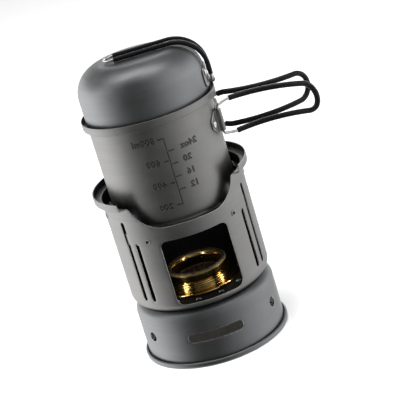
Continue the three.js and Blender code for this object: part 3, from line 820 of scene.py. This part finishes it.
def support_meshes(band, ledge, ear, side):
    """(strip with its ear, ledge) of one pot support."""
    sheet = SUPPORT_SHEET
    middle = SCREEN_WALL - SCREEN_SHEET - HINGE_GAP - sheet / 2
    bottom, band_top, ear_top = low("pot_support_left"), 130.7, high("pot_support_left") - sheet / 2
    bend, fold, pot_gap = 1.5, 148.6, 1.3
    strip = chained(
        run((middle, bottom), (middle, fold - bend), 2.0),
        bezier((middle, fold - bend), (middle, fold), (middle - bend, fold + bend * 0.6), steps=5),
        run((middle - bend, fold + bend * 0.6), (POT_WALL + pot_gap, ear_top), 1.2),
    )
    length = Path(strip).length
    band_height = band_top - bottom
    outline = [(band[0], 0, 2), (band[1], 0, 2), (ear[1], length, 1.5), (ear[0], length, 1.5),
               (ear[0], band_height, 2), (band[0], band_height, 2)]
    if ear[1] < band[1]:
        outline[1:3] = [(band[1], 0, 2), (band[1], band_height, 2), (ear[1], band_height, 2),
                        (ear[1], length, 1.5)]
    ledge_top, ledge_reach = band_top - sheet / 2, 49.9
    shelf = chained(
        run((middle, ledge_top - 5.0), (middle, ledge_top - bend), 1.5),
        arc(middle - bend, ledge_top - bend, bend, 0, 90, 5),
        run((middle - bend, ledge_top), (ledge_reach, ledge_top), 1.5),
    )
    shelf_length = Path(shelf).length
    shelf_outline = [(ledge[0], 0, 1), (ledge[1], 0, 1), (ledge[1], shelf_length, 3),
                     (ledge[0], shelf_length, 3)]
    return bent_strip(strip, sheet, outline, side), bent_strip(shelf, sheet * 0.9, shelf_outline, side)


# Azimuths between which a support's band, its ledge and its ear run.
SIDE_LAYOUT = ((33.0, 92.0), (40.0, 62.0), (78.0, 92.0))
REAR_LAYOUT = ((160.0, 200.0), (168.0, 192.0), (172.0, 188.0))
for end, layout, side in (("left", SIDE_LAYOUT, -1), ("right", SIDE_LAYOUT, 1), ("rear", REAR_LAYOUT, 1)):
    strip_mesh, shelf_mesh = support_meshes(*layout, side)
    strip = make_piece(f"support_strip_{end}", strip_mesh, [dull_plate, cut_edge], "windscreen",
                       f"pot_support_{end}")
    boolean(strip, shelf_mesh, "UNION")


# ---- rivets and eyelets ----
def outward_from(mesh_data, azimuth, radius, height):
    """Turns a piece made about +Z to point outwards at an azimuth."""
    verts, faces, edge_faces = mesh_data
    out = Vector(about_axis(1, math.radians(azimuth), 0))
    up = Vector((0, 0, 1))
    side = up.cross(out)
    centre = out * radius + up * height
    return [tuple(centre + side * x + up * y + out * z) for x, y, z in verts], faces, edge_faces


def rivet_mesh(grip):
    """Solid rivet: a domed head outside, a flattened tail inside."""
    head, head_height, head_edge, shank, tail, tail_height = 3.2, 1.75, 0.3, 1.5, 2.4, 0.85
    dome = [(head * math.cos(a), head_edge + (head_height - head_edge) * math.sin(a))
            for a in np.radians(np.linspace(0, 90, 10))]
    outline = [(0, -grip - tail_height), (tail * 0.7, -grip - tail_height), (tail, -grip - tail_height * 0.6),
               (tail, -grip), (shank, -grip), (shank, 0.0), (head - 0.1, 0.0), *dome]
    outline[-1] = (0, head_height)
    return turned(outline, 40)


def eyelet_mesh(grip):
    """Hollow rivet with a low rolled flange."""
    bore, flange, shank = 1.3, 2.7, EYELET_HOLE - 0.1
    outline = [(bore, -grip - 0.3), (bore + 0.1, -grip - 0.75), (flange - 0.4, -grip - 0.6),
               (flange - 0.2, -grip), (shank, -grip), (shank, 0.0), (flange, 0.0), (flange, 0.15),
               *arc(flange - 0.55, 0.1, 0.5, 15, 90, 4), (bore + 0.5, 0.5), (bore + 0.12, 0.3), (bore, -0.1)]
    return turned(outline, 32)


for place_name, (azimuth, height) in RIVET_PLACES.items():
    eyelet = eyelet_mesh(SCREEN_SHEET + HINGE_GAP + SUPPORT_SHEET)
    make_piece(f"eyelet_{place_name}", outward_from(eyelet, azimuth + SCREEN_TURN, SCREEN_WALL, height),
               [eyelet_metal], "windscreen", f"support_rivet_{place_name}")


# ---- spirit burner ----
def burner_shell_mesh():
    """Tank with a flat collar, and a neck above it with a helical thread."""
    bottom, collar = low("burner_body"), reach("burner_body")
    tank, ledge, thread, thread_top = 32.6, 54.6, 30.4, high("burner_body")
    root = thread - 0.75
    wall = SPUN_WALL
    mouth = reach("burner_inner_cup") + HINGE_GAP
    collar_round, collar_top = 1.2, ledge + 2.4
    thread_low, thread_high = collar_top + 0.8, thread_top - 0.4
    outline = chained(
        [(0, bottom + 0.4), (tank - 9, bottom + 0.4), (tank - 7, bottom)],
        arc(tank - 4, bottom + 4, 4, -90, 0, 8),
        run((tank, bottom + 4), (tank, ledge), 4.0),
        arc(collar - collar_round, ledge + collar_round, collar_round, -80, 80, 10),
        bezier((root + 1.5, collar_top), (root, collar_top), (root, thread_low), steps=5),
        run((root, thread_low), (root, thread_high), 0.22),
        [(root, thread_top - 0.25), (root - 0.25, thread_top), (mouth + 0.2, thread_top)],
        [(mouth, thread_top - 0.2), (mouth, collar_top), (tank - wall, ledge - 4)],
        [(tank - wall, bottom + 4), (tank - wall - 3.2, bottom + wall), (0, bottom + wall + 0.4)],
    )
    verts, faces, edge_faces = turned(outline, 192)
    pitch, depth = 2.0, thread - root
    shaped = []
    for x, y, z in verts:
        radius = math.hypot(x, y)
        if thread_low - 0.01 <= z <= thread_high + 0.01 and abs(radius - root) < 0.01:
            turns = (z - thread_low) / pitch - math.atan2(y, x) / (2 * math.pi)
            crest = 0.5 - 0.5 * math.cos(2 * math.pi * turns)
            fade = min(1.0, (z - thread_low) / 1.2, (thread_high - z) / 1.2)
            grow = 1 + depth * (crest ** 0.8) * max(fade, 0.0) / radius
            x, y = x * grow, y * grow
        shaped.append((x, y, z))
    return shaped, faces, edge_faces


def burner_cup_mesh():
    """Inner cup of the burner with a rolled rim and a ring of gas jets."""
    floor, top = low("burner_inner_cup"), high("burner_inner_cup")
    rim = reach("burner_inner_cup")
    well, wall = 23.6, SPUN_WALL
    half = wall / 2
    points = chained(
        run((rim - half, high("burner_body") - 2.0), (rim - half, top - 1.4), 2.0),
        arc(rim - 1.4, top - 1.4, 1.0, 0, 90, 6),
        bezier((rim - 1.4, top - half), (well + 1.0, top - half), (well + half, top - 1.6),
               (well - half, top - 5.0), steps=10),
        run((well - half, top - 5.0), (well - half, floor + 3.0), 3.0),
        arc(well - half - 2.6, floor + half + 2.6, 2.6, 0, -90, 6),
        run((well - half - 2.6, floor + half), (1.2, floor + half), 3.0),
    )
    path_points = list(reversed(points))

    def openings(path, flat):
        first = path.station_of_height(floor + 3.5, 22.0, path.length - 18)
        across = first + (top - 6.5) - (floor + 3.5)
        scale = path.points[:, 0].max() / well
        return [[(flat(azimuth) + x * scale, across + y) for x, y in circle(0, 0, 0.8, 12)]
                for azimuth in np.arange(15.0, 375.0, 30.0)]

    return round_shell(path_points, wall, openings, seam=180.0, columns=120)


def wick_mesh():
    """Cotton packing between the burner's two walls, with strands wound round it."""
    bottom, top = low("burner_wick"), high("burner_wick")
    outer, inner = reach("burner_wick"), 24.4
    outside = [(outer - 0.25 + 0.25 * math.cos(z * 3.2), z) for z in np.arange(bottom + 0.5, top - 0.4, 0.4)]
    within = [(inner + 0.2, z) for z in np.arange(top - 0.5, bottom + 0.4, -2.0)]
    crown = [((outer + inner) / 2 + (outer - inner) / 2 * math.cos(a), top - 0.5 + 0.5 * math.sin(a))
             for a in np.radians(np.linspace(10, 170, 12))]
    return turned(chained([(inner + 1, bottom), (outer - 1, bottom)], outside, crown, within), 120)


burner_top = high("burner_inner_cup")
# The last three numbers: where soot starts and where it is full, and the height under which painted shade
# covers the brass. The tank's soot band lies above the burner, so the tank only gets painted shade on its
# foot inside the stand.
burner_skin = tarnished_brass("brass_outer", burner_top + 30, burner_top + 40, 53.5)
cup_skin = tarnished_brass("brass_soot_and_shade", burner_top - 3.5, burner_top - 0.5, 62.0)
make_piece("burner_tank", burner_shell_mesh(), [burner_skin], "burner", "burner_body")
make_piece("burner_cup", burner_cup_mesh(), [cup_skin], "burner", "burner_inner_cup")
make_piece("burner_packing", wick_mesh(), [cotton], "burner", "burner_wick")


# ---- pot ----
POT_STEP = 222.0  # height of the ledge that seats the lid


def pot_mesh():
    """Deep drawn pot: rounded base, straight wall, and a step under an upright rim that seats the lid."""
    bottom, rim, top = low("pot_body"), reach("pot_body"), high("pot_body")
    wall, corner, step, edge = SPUN_WALL, 7.0, POT_STEP, SPUN_WALL / 2
    outside = chained(
        [(0, bottom + 0.5)], run((8, bottom + 0.5), (38, bottom + 0.5), 6.0),
        bezier((38, bottom + 0.5), (41, bottom + 0.5), (42, bottom), (44.5, bottom), steps=5),
        arc(POT_WALL - corner, bottom + corner, corner, -90, 0, 14),
        run((POT_WALL, bottom + corner), (POT_WALL, step - 0.7), 2.5),
        arc(POT_WALL + 0.7, step - 0.7, 0.7, 180, 90, 4),
        run((POT_WALL + 0.7, step), (rim - 0.8, step), 1.2),
        arc(rim - 0.8, step + 0.8, 0.8, -90, 0, 5),
        run((rim, step + 0.8), (rim, top - edge), 1.6),
        arc(rim - edge, top - edge, edge, 0, 180, 8),
    )
    within = chained(
        run((rim - wall, top - edge), (rim - wall, step + wall + 0.7), 1.6),
        arc(rim - wall - 0.7, step + wall + 0.7, 0.7, 0, -90, 4),
        run((rim - wall - 0.7, step + wall), (POT_WALL + 0.1, step + wall), 1.2),
        arc(POT_WALL + 0.1, step - 0.1, wall + 0.1, 90, 180, 4),
        run((POT_WALL - wall, step - 0.1), (POT_WALL - wall, bottom + corner), 6.0),
        arc(POT_WALL - corner, bottom + corner, corner - wall, 0, -90, 10),
        [(44.5, bottom + wall), (41, bottom + wall + 0.3)],
        [(38, bottom + wall + 0.5), (0, bottom + wall + 0.5)],
    )
    return turned(chained(outside, within))


SCALE_AZIMUTH = 5.0  # where the scale's upright line stands
GROOVE = 0.45  # depth of the stamped scale
MARK_FIRST = 149.5  # height of the 200 ml mark
MARK_STEP = 20.0  # rise per 200 ml
OUNCE_RISE = 12.6  # height of the 12 oz mark above the 200 ml mark
MARK_LINE = 0.65  # half width of the stamped lines
DIGIT_SIZE = 7.4


def stamped_text(body, x, z):
    """Flat punch for one label, mirrored: (points as (x, z, depth), faces)."""
    curve = bpy.data.curves.new("punch", "FONT")
    curve.body = body
    curve.size = DIGIT_SIZE
    curve.align_x = "CENTER"
    curve.align_y = "CENTER"
    curve.space_character = 1.12
    curve.offset = 0.02
    curve.extrude = 0.02
    curve.bevel_depth = GROOVE
    curve.bevel_resolution = 0
    curve.resolution_u = 3
    holder = placed("punch", curve)
    mesh = evaluated_mesh(holder)
    verts = [(x - v.co.x, z + v.co.y, v.co.z) for v in mesh.vertices]
    faces = [list(polygon.vertices) for polygon in mesh.polygons]
    bpy.data.objects.remove(holder)
    return verts, faces, []


def stamped_line(x_from, x_to, z_from, z_to):
    """Punch for a level or an upright mark, sharp-bottomed, as (x, z, depth) points."""
    above_wall = 0.25
    grow = (0, MARK_LINE) if x_to > x_from else (MARK_LINE, 0)
    verts = []
    for depth, share in ((-GROOVE, 0.12), (0.0, 1.0), (above_wall, 1.0)):
        dx, dz = grow[0] * share, grow[1] * share
        verts += [(x_from - dx, z_from - dz, depth), (x_to + dx, z_from - dz, depth),
                  (x_to + dx, z_to + dz, depth), (x_from - dx, z_to + dz, depth)]
    faces = [[3, 2, 1, 0], [8, 9, 10, 11]]
    for k in (0, 4):
        faces += [[k + i, k + (i + 1) % 4, k + 4 + (i + 1) % 4, k + 4 + i] for i in range(4)]
    return verts, faces, []


def wrapped(mesh_data):
    """Wraps flat (x, z, depth) points onto the pot's wall."""
    verts, faces, edge_faces = mesh_data
    start = math.radians(SCALE_AZIMUTH)
    return [about_axis(POT_WALL + depth, x / POT_WALL + start, z) for x, z, depth in verts], faces, edge_faces


def scale_punches():
    """Volume scale read from inside the pot: millilitres on one side, ounces on the other."""
    punches = [stamped_line(0, 0, MARK_FIRST - 1.0, MARK_FIRST + 3 * MARK_STEP + MARK_LINE)]
    ounce_step = MARK_STEP * 29.57 * 4 / 200
    for i in range(4):
        height = MARK_FIRST + i * MARK_STEP
        punches.append(stamped_line(-5.0, -MARK_LINE - 0.3, height, height))
        label, x = ("800ml", -18.0) if i == 3 else (str(200 * (i + 1)), -14.5)
        punches.append(stamped_text(label, x, height))
    for i in range(4):
        height = MARK_FIRST + OUNCE_RISE + i * ounce_step
        punches.append(stamped_line(MARK_LINE + 0.3, 6.5, height, height))
        label, x = ("24oz", 20.5) if i == 3 else (str(12 + 4 * i), 15.5)
        punches.append(stamped_text(label, x, height + 1.0))
    return punches


def stamp_scale(piece):
    """Sinks the scale into the wall and gives its grooves a darker skin, which paints shade into the
    recesses.
    """
    for punch in scale_punches():
        boolean(piece, wrapped(punch), "DIFFERENCE")
    mesh = piece.data
    for polygon in mesh.polygons:
        spot = (polygon.center - AXIS) / MM
        sunk = 0.03 < POT_WALL - spot.to_2d().length < GROOVE + 0.05
        polygon.material_index = int(sunk and MARK_FIRST - 5.0 < spot.z < POT_STEP - 1.0)
    mesh.shade_smooth()
    mesh.set_sharp_from_angle(angle=SHARP_EDGE)


stamp_scale(make_piece("pot_shell", pot_mesh(), [pot_skin, groove_painted_shade], "pot", "pot_body"))


# ---- pot handles ----
hinge_front = joint_place("handle_front_fold")
hinge_rear = joint_place("handle_rear_fold")
GRIP_BOW = 72.0  # radius of the loops' bow round the pot
GRIP_LEG, GRIP_BELLY, GRIP_TIP = 13.4, 15.2, 12.6  # half heights at the hinge, the belly and the tip
GRIP_CORNER = 3.0
GRIP_BELLY_AT = 1 / 8  # share of the straight run where the loop is highest


def pot_bracket_mesh():
    """Riveted plate that wraps both handle wires in raised loops."""
    sheet = POT_BRACKET_SHEET
    middle = POT_WALL + PLATE_GAP + sheet / 2
    loop = WIRE + HINGE_GAP + sheet / 2
    end = math.radians(32.0)
    fillet = 0.9
    spread = (loop + fillet) / middle

    def on_wall(start, stop):
        return [(middle * math.cos(a), middle * math.sin(a)) for a in np.linspace(start, stop, 12)]

    points = []
    last = -end
    for hinge in (hinge_front, hinge_rear):
        angle = math.atan2(hinge.y, hinge.x)
        distance = math.hypot(hinge.x, hinge.y)
        points += on_wall(last, angle - spread)
        out = np.array((math.cos(angle), math.sin(angle)))
        along = np.array((-math.sin(angle), math.cos(angle)))
        bulge = chained(
            arc(-loop - fillet, middle + fillet, fillet, -90, 0, 5),
            run((-loop, middle + fillet), (-loop, distance), 0.8),
            arc(0, distance, loop, 180, 0, 16),
            run((loop, distance), (loop, middle + fillet), 0.8),
            arc(loop + fillet, middle + fillet, fillet, 180, 270, 5),
        )
        points += [tuple(out * y + along * x) for x, y in bulge]
        last = angle + spread
    path = Path(chained(points, on_wall(last, end)))
    bottom = low("pot_handle_bracket")
    height = high("pot_handle_bracket") - bottom
    blunt, taper = 3.6, 8.5
    blunt_low, blunt_high = height / 2 - blunt, height / 2 + blunt
    outline = stepped(rounded([
        (taper, 0, 3), (path.length - taper, 0, 3), (path.length, blunt_low, 3.4),
        (path.length, blunt_high, 3.4), (path.length - taper, height, 3), (taper, height, 3),
        (0, blunt_high, 3.4), (0, blunt_low, 3.4)]), 1.2)

    def place(along, across, depth):
        return (*path.at(along, depth), bottom + across)

    grid = [(x, y) for x in path.stations[1:-1] for y in np.arange(2.0, height, 2.4)]
    return cut_sheet(outline, [], grid, place, sheet, clearance=0.5)


def grip_flat(length, from_share):
    """The loop's straight sides and round tip, as (distance out, height) points."""
    run_end = length - GRIP_TIP
    upper = []
    for share in np.linspace(from_share, 1, 40):
        if share < GRIP_BELLY_AT:
            up = GRIP_LEG + (GRIP_BELLY - GRIP_LEG) * math.sin(math.pi / 2 * share / GRIP_BELLY_AT)
        else:
            up = GRIP_BELLY + (GRIP_TIP - GRIP_BELLY) * (share - GRIP_BELLY_AT) / (1 - GRIP_BELLY_AT)
        upper.append((GRIP_CORNER + (run_end - GRIP_CORNER) * share, up))
    tip = arc(run_end, 0, GRIP_TIP, 90, -90, 36)
    return chained(upper, tip, [(a, -b) for a, b in reversed(upper)])


def grip_bent(flat, hinge, length, side, chord):
    """Bends the flat loop round the pot's side. side is -1 for the front handle."""
    half_arc = length / GRIP_BOW / 2
    turn = math.radians(chord)
    points = []
    for along, up in flat:
        angle = along / GRIP_BOW
        out = GRIP_BOW * (math.sin(half_arc) - math.sin(half_arc - angle))
        inward = -side * GRIP_BOW * (math.cos(half_arc - angle) - math.cos(half_arc))
        x = out * math.cos(turn) - inward * math.sin(turn)
        y = out * math.sin(turn) + inward * math.cos(turn)
        points.append((hinge.x + x, hinge.y + y, hinge.z + up))
    return points


def grip_wire_flat(length):
    """The whole loop laid flat: up from the hinge, round a corner, along, round the tip and back."""
    corner = arc(GRIP_CORNER, GRIP_LEG - GRIP_CORNER, GRIP_CORNER, 180, 90, 8)
    upper = chained(run((0, 0.6), (0, GRIP_LEG - GRIP_CORNER), 2.0), corner)
    return chained(upper, grip_flat(length, 0.0), [(a, -b) for a, b in reversed(upper)])


make_piece("pot_bracket_plate", pot_bracket_mesh(), [dull_plate, cut_edge], "pot",
           "pot_handle_bracket")
# Name, hinge, length, side, turn of the chord in degrees, and where the sleeve starts.
GRIPS = (
    ("front", hinge_front, 92.0, -1, -11.5, 1 / 8),
    ("rear", hinge_rear, 90.0, 1, -1.0, 1 / 32),
)
POT_RIVET_TURN = 28.5  # either side of the bracket's middle
for end, hinge, length, side, chord, sleeve_from in GRIPS:
    loop = wire(grip_bent(grip_wire_flat(length), hinge, length, side, chord), WIRE)
    covered = grip_bent(grip_flat(length, sleeve_from), hinge, length, side, chord)
    cover = sleeve(covered, GRIP_SLEEVE, WIRE + 0.1)
    rivet = outward_from(rivet_mesh(SPUN_WALL + POT_BRACKET_SHEET + HINGE_GAP), 90 + side * POT_RIVET_TURN,
                         POT_WALL + PLATE_GAP + POT_BRACKET_SHEET, hinge.z)
    body = f"handle_{end}"
    make_piece(f"grip_{end}_loop", loop, [bright_wire], body, f"{body}_wire")
    make_piece(f"grip_{end}_cover", cover, [black], body, f"{body}_sleeve")
    make_piece(f"pot_rivet_{end}_domed", rivet, [rivet_metal], "pot", f"pot_rivet_{end}")


# ---- lid ----
LID_SHOULDER = 25.0


def lid_mesh():
    """Bowl-shaped pan turned upside down: straight wall, deep shoulder, slightly crowned base."""
    wall, edge, top, sheet = reach("lid_pan"), low("lid_pan"), high("lid_pan"), SPUN_WALL
    shoulder = LID_SHOULDER
    flat, wall_top = wall - shoulder, top - shoulder
    outside = chained(
        [(wall - sheet + 0.1, edge + 0.1), (wall - 0.1, edge + 0.1)],
        run((wall, edge + 0.5), (wall, wall_top), 3.0),
        arc(flat, wall_top, shoulder, 0, 88, 26),
        bezier((flat + 0.5, top - 0.02), (flat * 0.6, top), (0, top), steps=6),
    )
    within = chained(
        [(0, top - sheet), (flat, top - sheet)],
        arc(flat, wall_top, shoulder - sheet, 90, 0, 20),
        run((wall - sheet, wall_top), (wall - sheet, edge + 0.4), 6.0),
    )
    return turned(chained(outside, within))


lid_hinge = joint_place("lid_handle_fold")
LID_LOOP_HALF = 8.0  # half the loop's width
LID_LOOP_FAR = -25.0  # the loop's far end, past the axis
LID_LOOP_TOP = high("lid_handle_sleeve_front") - LID_SLEEVE
LID_SLEEVE_FAR = -17.0
LID_SLEEVE_LOW = 239.0
LID_BRACKET_HIGH = 248.5


def lid_bracket_mesh():
    """Curved plate on the lid's side whose middle tab rolls round the loop's hinge."""
    sheet = LID_BRACKET_SHEET
    middle = reach("lid_pan") + PLATE_GAP + sheet / 2
    roll = WIRE + HINGE_GAP + sheet / 2
    plate_height, bend_at = 17.0, 8.0
    bend_height = LID_BRACKET_HIGH - bend_at
    inner = lid_hinge.x - roll
    path = Path(chained(
        run((middle, LID_BRACKET_HIGH), (middle, bend_height), 1.5),
        bezier((middle, bend_height), (middle, bend_height - 3.0), (inner, bend_height - 3.0),
               (inner, lid_hinge.z), steps=8),
        arc(lid_hinge.x, lid_hinge.z, roll, 180, 430, 24),
    ))
    half_plate, half_tab, slit = math.radians(21.0) * middle, 6.0, 0.7

    def place(along, across, depth):
        in_tab = abs(along) < half_tab + slit / 2
        distance, height = path.at(across if in_tab else min(across, bend_at), depth)
        if not in_tab and across > bend_at:
            height -= across - bend_at
        flatten = min(max((across - bend_at) / 3.0, 0.0), 1.0) if in_tab else 0.0
        angle = along / middle
        x, y = distance * math.cos(angle), distance * math.sin(angle)
        return (x + (distance - x) * flatten, y + (along - y) * flatten, height)

    tab_side = [(half_tab + slit, plate_height, 0.8), (half_tab + slit, bend_at, 0.2),
                (half_tab, bend_at, 0.2), (half_tab, path.length, 0.6)]
    right = [(half_plate, 0, 5), (half_plate, plate_height, 4), *tab_side]
    left = [(-x, y, radius) for x, y, radius in reversed(right)]
    outline = stepped(rounded(right + left), 1.2)
    grid = [(x, y) for x in np.arange(-half_plate, half_plate, 1.6) for y in path.stations[1:-1]]
    return cut_sheet(outline, [], grid, place, sheet, clearance=0.5)


def lid_loop_over():
    """The loop's way up the lid's side and over its shoulder, as (x, z) points above the hinge's corner."""
    centre_x = reach("lid_pan") - LID_SHOULDER
    centre_z = high("lid_pan") - LID_SHOULDER
    reach_x, reach_z = lid_hinge.x - centre_x, LID_LOOP_TOP - centre_z
    bend = [(centre_x + reach_x * x, centre_z + reach_z * z) for x, z in arc(0, 0, 1, 0, 90, 28)]
    return chained(run((lid_hinge.x, LID_SLEEVE_LOW), (lid_hinge.x, centre_z), 1.5), bend)


def lid_loop_points():
    """Centre line of the wire: out of the hinge, over the lid's shoulder, round the far end and back."""
    over = lid_loop_over()
    corner = 2.6
    side = chained(
        run((2.5, 0.0), (LID_LOOP_HALF - corner, 0.0), 0.8),
        arc(LID_LOOP_HALF - corner, corner, corner, -90, 0, 8),
    )
    far_centre = LID_LOOP_FAR + LID_LOOP_HALF
    leg = [(lid_hinge.x, y, lid_hinge.z + up) for y, up in side]
    leg += [(x, LID_LOOP_HALF, z) for x, z in over]
    leg += [(x, LID_LOOP_HALF, z) for x, z in run(over[-1], (far_centre, LID_LOOP_TOP), 3.0)]
    far = [(x, y, LID_LOOP_TOP) for x, y in arc(far_centre, 0, LID_LOOP_HALF, 90, 270, 24)]
    back = [(x, -y, z) for x, y, z in reversed(leg)]
    return chained(leg, far, back)


make_piece("lid_shell", lid_mesh(), [lid_skin], "lid", "lid_pan")
make_piece("lid_bracket_plate", lid_bracket_mesh(), [dull_plate, cut_edge], "lid",
           "lid_handle_bracket")
make_piece("lid_loop", wire(lid_loop_points(), WIRE), [bright_wire], "lid_handle",
           "lid_handle_wire")
LID_RIVET_TURN, LID_RIVET_HEIGHT = 15.5, 244.0
for end, side in (("front", -1), ("rear", 1)):
    line = lid_loop_over()
    line = chained(line, run(line[-1], (LID_SLEEVE_FAR, LID_LOOP_TOP), 2.0))
    cover = sleeve([(x, side * LID_LOOP_HALF, z) for x, z in line], LID_SLEEVE, WIRE + 0.1)
    rivet = outward_from(rivet_mesh(SPUN_WALL + LID_BRACKET_SHEET + HINGE_GAP), 90 + side * LID_RIVET_TURN,
                         reach("lid_pan") + PLATE_GAP + LID_BRACKET_SHEET, LID_RIVET_HEIGHT)
    make_piece(f"lid_loop_cover_{end}", cover, [black], "lid_handle", f"lid_handle_sleeve_{end}")
    make_piece(f"lid_rivet_{end}_domed", rivet, [rivet_metal], "lid", f"lid_rivet_{end}")


# ---- studio ----
def floor():
    """A plain pale floor, wide enough to fill the view."""
    half = 8.0
    mesh = bpy.data.meshes.new("floor")
    corners = [(-half, -half, 0), (half, -half, 0), (half, half, 0), (-half, half, 0)]
    mesh.from_pydata(corners, [], [(0, 1, 2, 3)])
    ground = placed("floor", mesh)
    shader = Shader("pale_floor")
    cloud = shader.noise(shader.node("TexCoord", {}).outputs["Object"], 3.0)
    shade = shader.mix(cloud, (0.90, 0.90, 0.90, 1.0), (0.93, 0.93, 0.93, 1.0))
    mesh.materials.append(shader.finish(Base_Color=shade, Roughness=0.9, Specular_IOR_Level=0.0))
    ground.visible_glossy = False  # the metal mirrors the studio's walls instead


# Brightness by azimuth round the stove, 0 towards the camera and 90 to its right.
WORLD_AROUND = (
    (-180, 0.50), (-155, 1.40), (-130, 1.95), (-105, 2.20), (-82, 1.25), (-60, 0.36), (-40, 0.12),
    (-20, 0.10), (0, 0.11), (18, 0.28), (36, 0.54), (56, 0.83), (78, 1.12), (104, 1.32), (135, 1.05),
    (160, 0.70), (180, 0.50),
)
# What it is multiplied by, by the sine of the height above the horizon.
WORLD_HEIGHT = ((-1.0, 0.55), (-0.5, 0.85), (0.0, 1.0), (0.55, 1.0), (0.7, 0.75), (0.85, 0.26), (1.0, 0.16))
STOP_SHARE = 1 / 4  # a ramp's stops can't pass 1, so they hold this share of the brightness
BACK_SHARE = 0.2  # what is left of the brightness high at the back, which the lid's shoulder mirrors


def set_stops(ramp, stops, place):
    """Fills a colour ramp from (place, brightness) stops."""
    ramp.interpolation = "B_SPLINE"
    for at, value in stops:
        level = value * STOP_SHARE
        ramp.elements.new(place(at)).color = (level, level, level, 1.0)
    ramp.elements.remove(ramp.elements[0])
    ramp.elements.remove(ramp.elements[-1])


def studio_world():
    """Soft light from the sides and a dim front, as brightness by direction."""
    world = bpy.data.worlds.new("studio")
    world.use_nodes = True
    bpy.context.scene.world = world
    tree = world.node_tree

    def node(kind, inputs, **settings):
        return add_node(tree, kind, inputs, **settings).outputs[0]

    def smooth(value, start, end):
        return node("MapRange", {0: value, 1: start, 2: end}, interpolation_type="SMOOTHSTEP")

    def product(a, b):
        return node("Math", {0: a, 1: b}, operation="MULTIPLY")

    direction = add_node(tree, "TexCoord", {}).outputs["Generated"]
    right, away, up = add_node(tree, "SeparateXYZ", {0: direction}).outputs
    azimuth = node("Math", {0: right, 1: product(away, -1.0)}, operation="ARCTAN2")
    ramps = []
    for value, most, stops in ((azimuth, math.pi, WORLD_AROUND), (up, 1.0, WORLD_HEIGHT)):
        share = node("MapRange", {"Value": value, "From Min": -most, "From Max": most})
        ramp = add_node(tree, "ValToRGB", {0: share})
        last = stops[-1][0]
        set_stops(ramp.color_ramp, stops, lambda at: (at + last) / (2 * last))
        ramps.append(ramp.outputs[0])
    shade = node("VectorMath", {0: ramps[0], 1: ramps[1]}, operation="MULTIPLY")
    high_back = product(smooth(up, 0.1, 0.55), smooth(away, -0.2, 0.3))
    full = 1 / STOP_SHARE ** 2
    strength = node("MapRange", {0: high_back, 3: full, 4: full * BACK_SHARE})
    shade = node("VectorMath", {0: shade, 3: strength}, operation="SCALE")
    tree.links.new(shade, tree.nodes["Background"].inputs[0])


def area_lamp(name, shape, size, energy, location, target):
    """An area light at a place in metres, turned towards another."""
    light = bpy.data.lights.new(name, "AREA")
    light.shape = shape
    light.size, light.size_y = size
    light.energy = energy
    lamp = placed(name, light)
    lamp.location = location
    lamp.rotation_euler = (location - target).to_track_quat("Z", "Y").to_euler()
    return lamp


def floor_light():
    """A broad ceiling light for the floor and its soft shadow, kept out of the metal's reflections."""
    spot = AXIS + Vector((-0.3, -0.4, 1.9))
    area_lamp("ceiling", "DISK", (2.2, 2.2), 70.0, spot, AXIS).visible_glossy = False


def burner_lamp(azimuth, energy):
    """A small lamp inside the windscreen, which puts a gleam on the burner's brass."""
    spot = AXIS + Vector(about_axis(55.0, math.radians(azimuth), 84.0)) * MM
    target = AXIS + Vector((0.0, 0.0, 0.064))
    area_lamp("burner_lamp", "RECTANGLE", (0.004, 0.05), energy, spot, target).visible_camera = False


CAMERA_SPOT = (19.7, -1201.0, 547.0)
CAMERA_TARGET = (19.7, 0.0, 128.5)
CAMERA_ROLL = -16.7


def camera():
    """Looks down a little from the front, rolled so that the stove leans to the left."""
    data = bpy.data.cameras.new("camera")
    data.lens = 128.0
    data.sensor_width = 36.0
    data.clip_end = 50.0
    eye = placed("camera", data)
    spot, target = (AXIS + Vector(place) * MM for place in (CAMERA_SPOT, CAMERA_TARGET))
    eye.location = spot
    view = (target - spot).to_track_quat("-Z", "Y").to_matrix().to_4x4()
    eye.rotation_euler = (view @ Matrix.Rotation(math.radians(CAMERA_ROLL), 4, "Z")).to_euler()
    bpy.context.scene.camera = eye


floor()
studio_world()
floor_light()
burner_lamp(-49.0, 0.008)
burner_lamp(61.0, 0.012)
camera()
bpy.context.scene.view_settings.view_transform = "Standard"
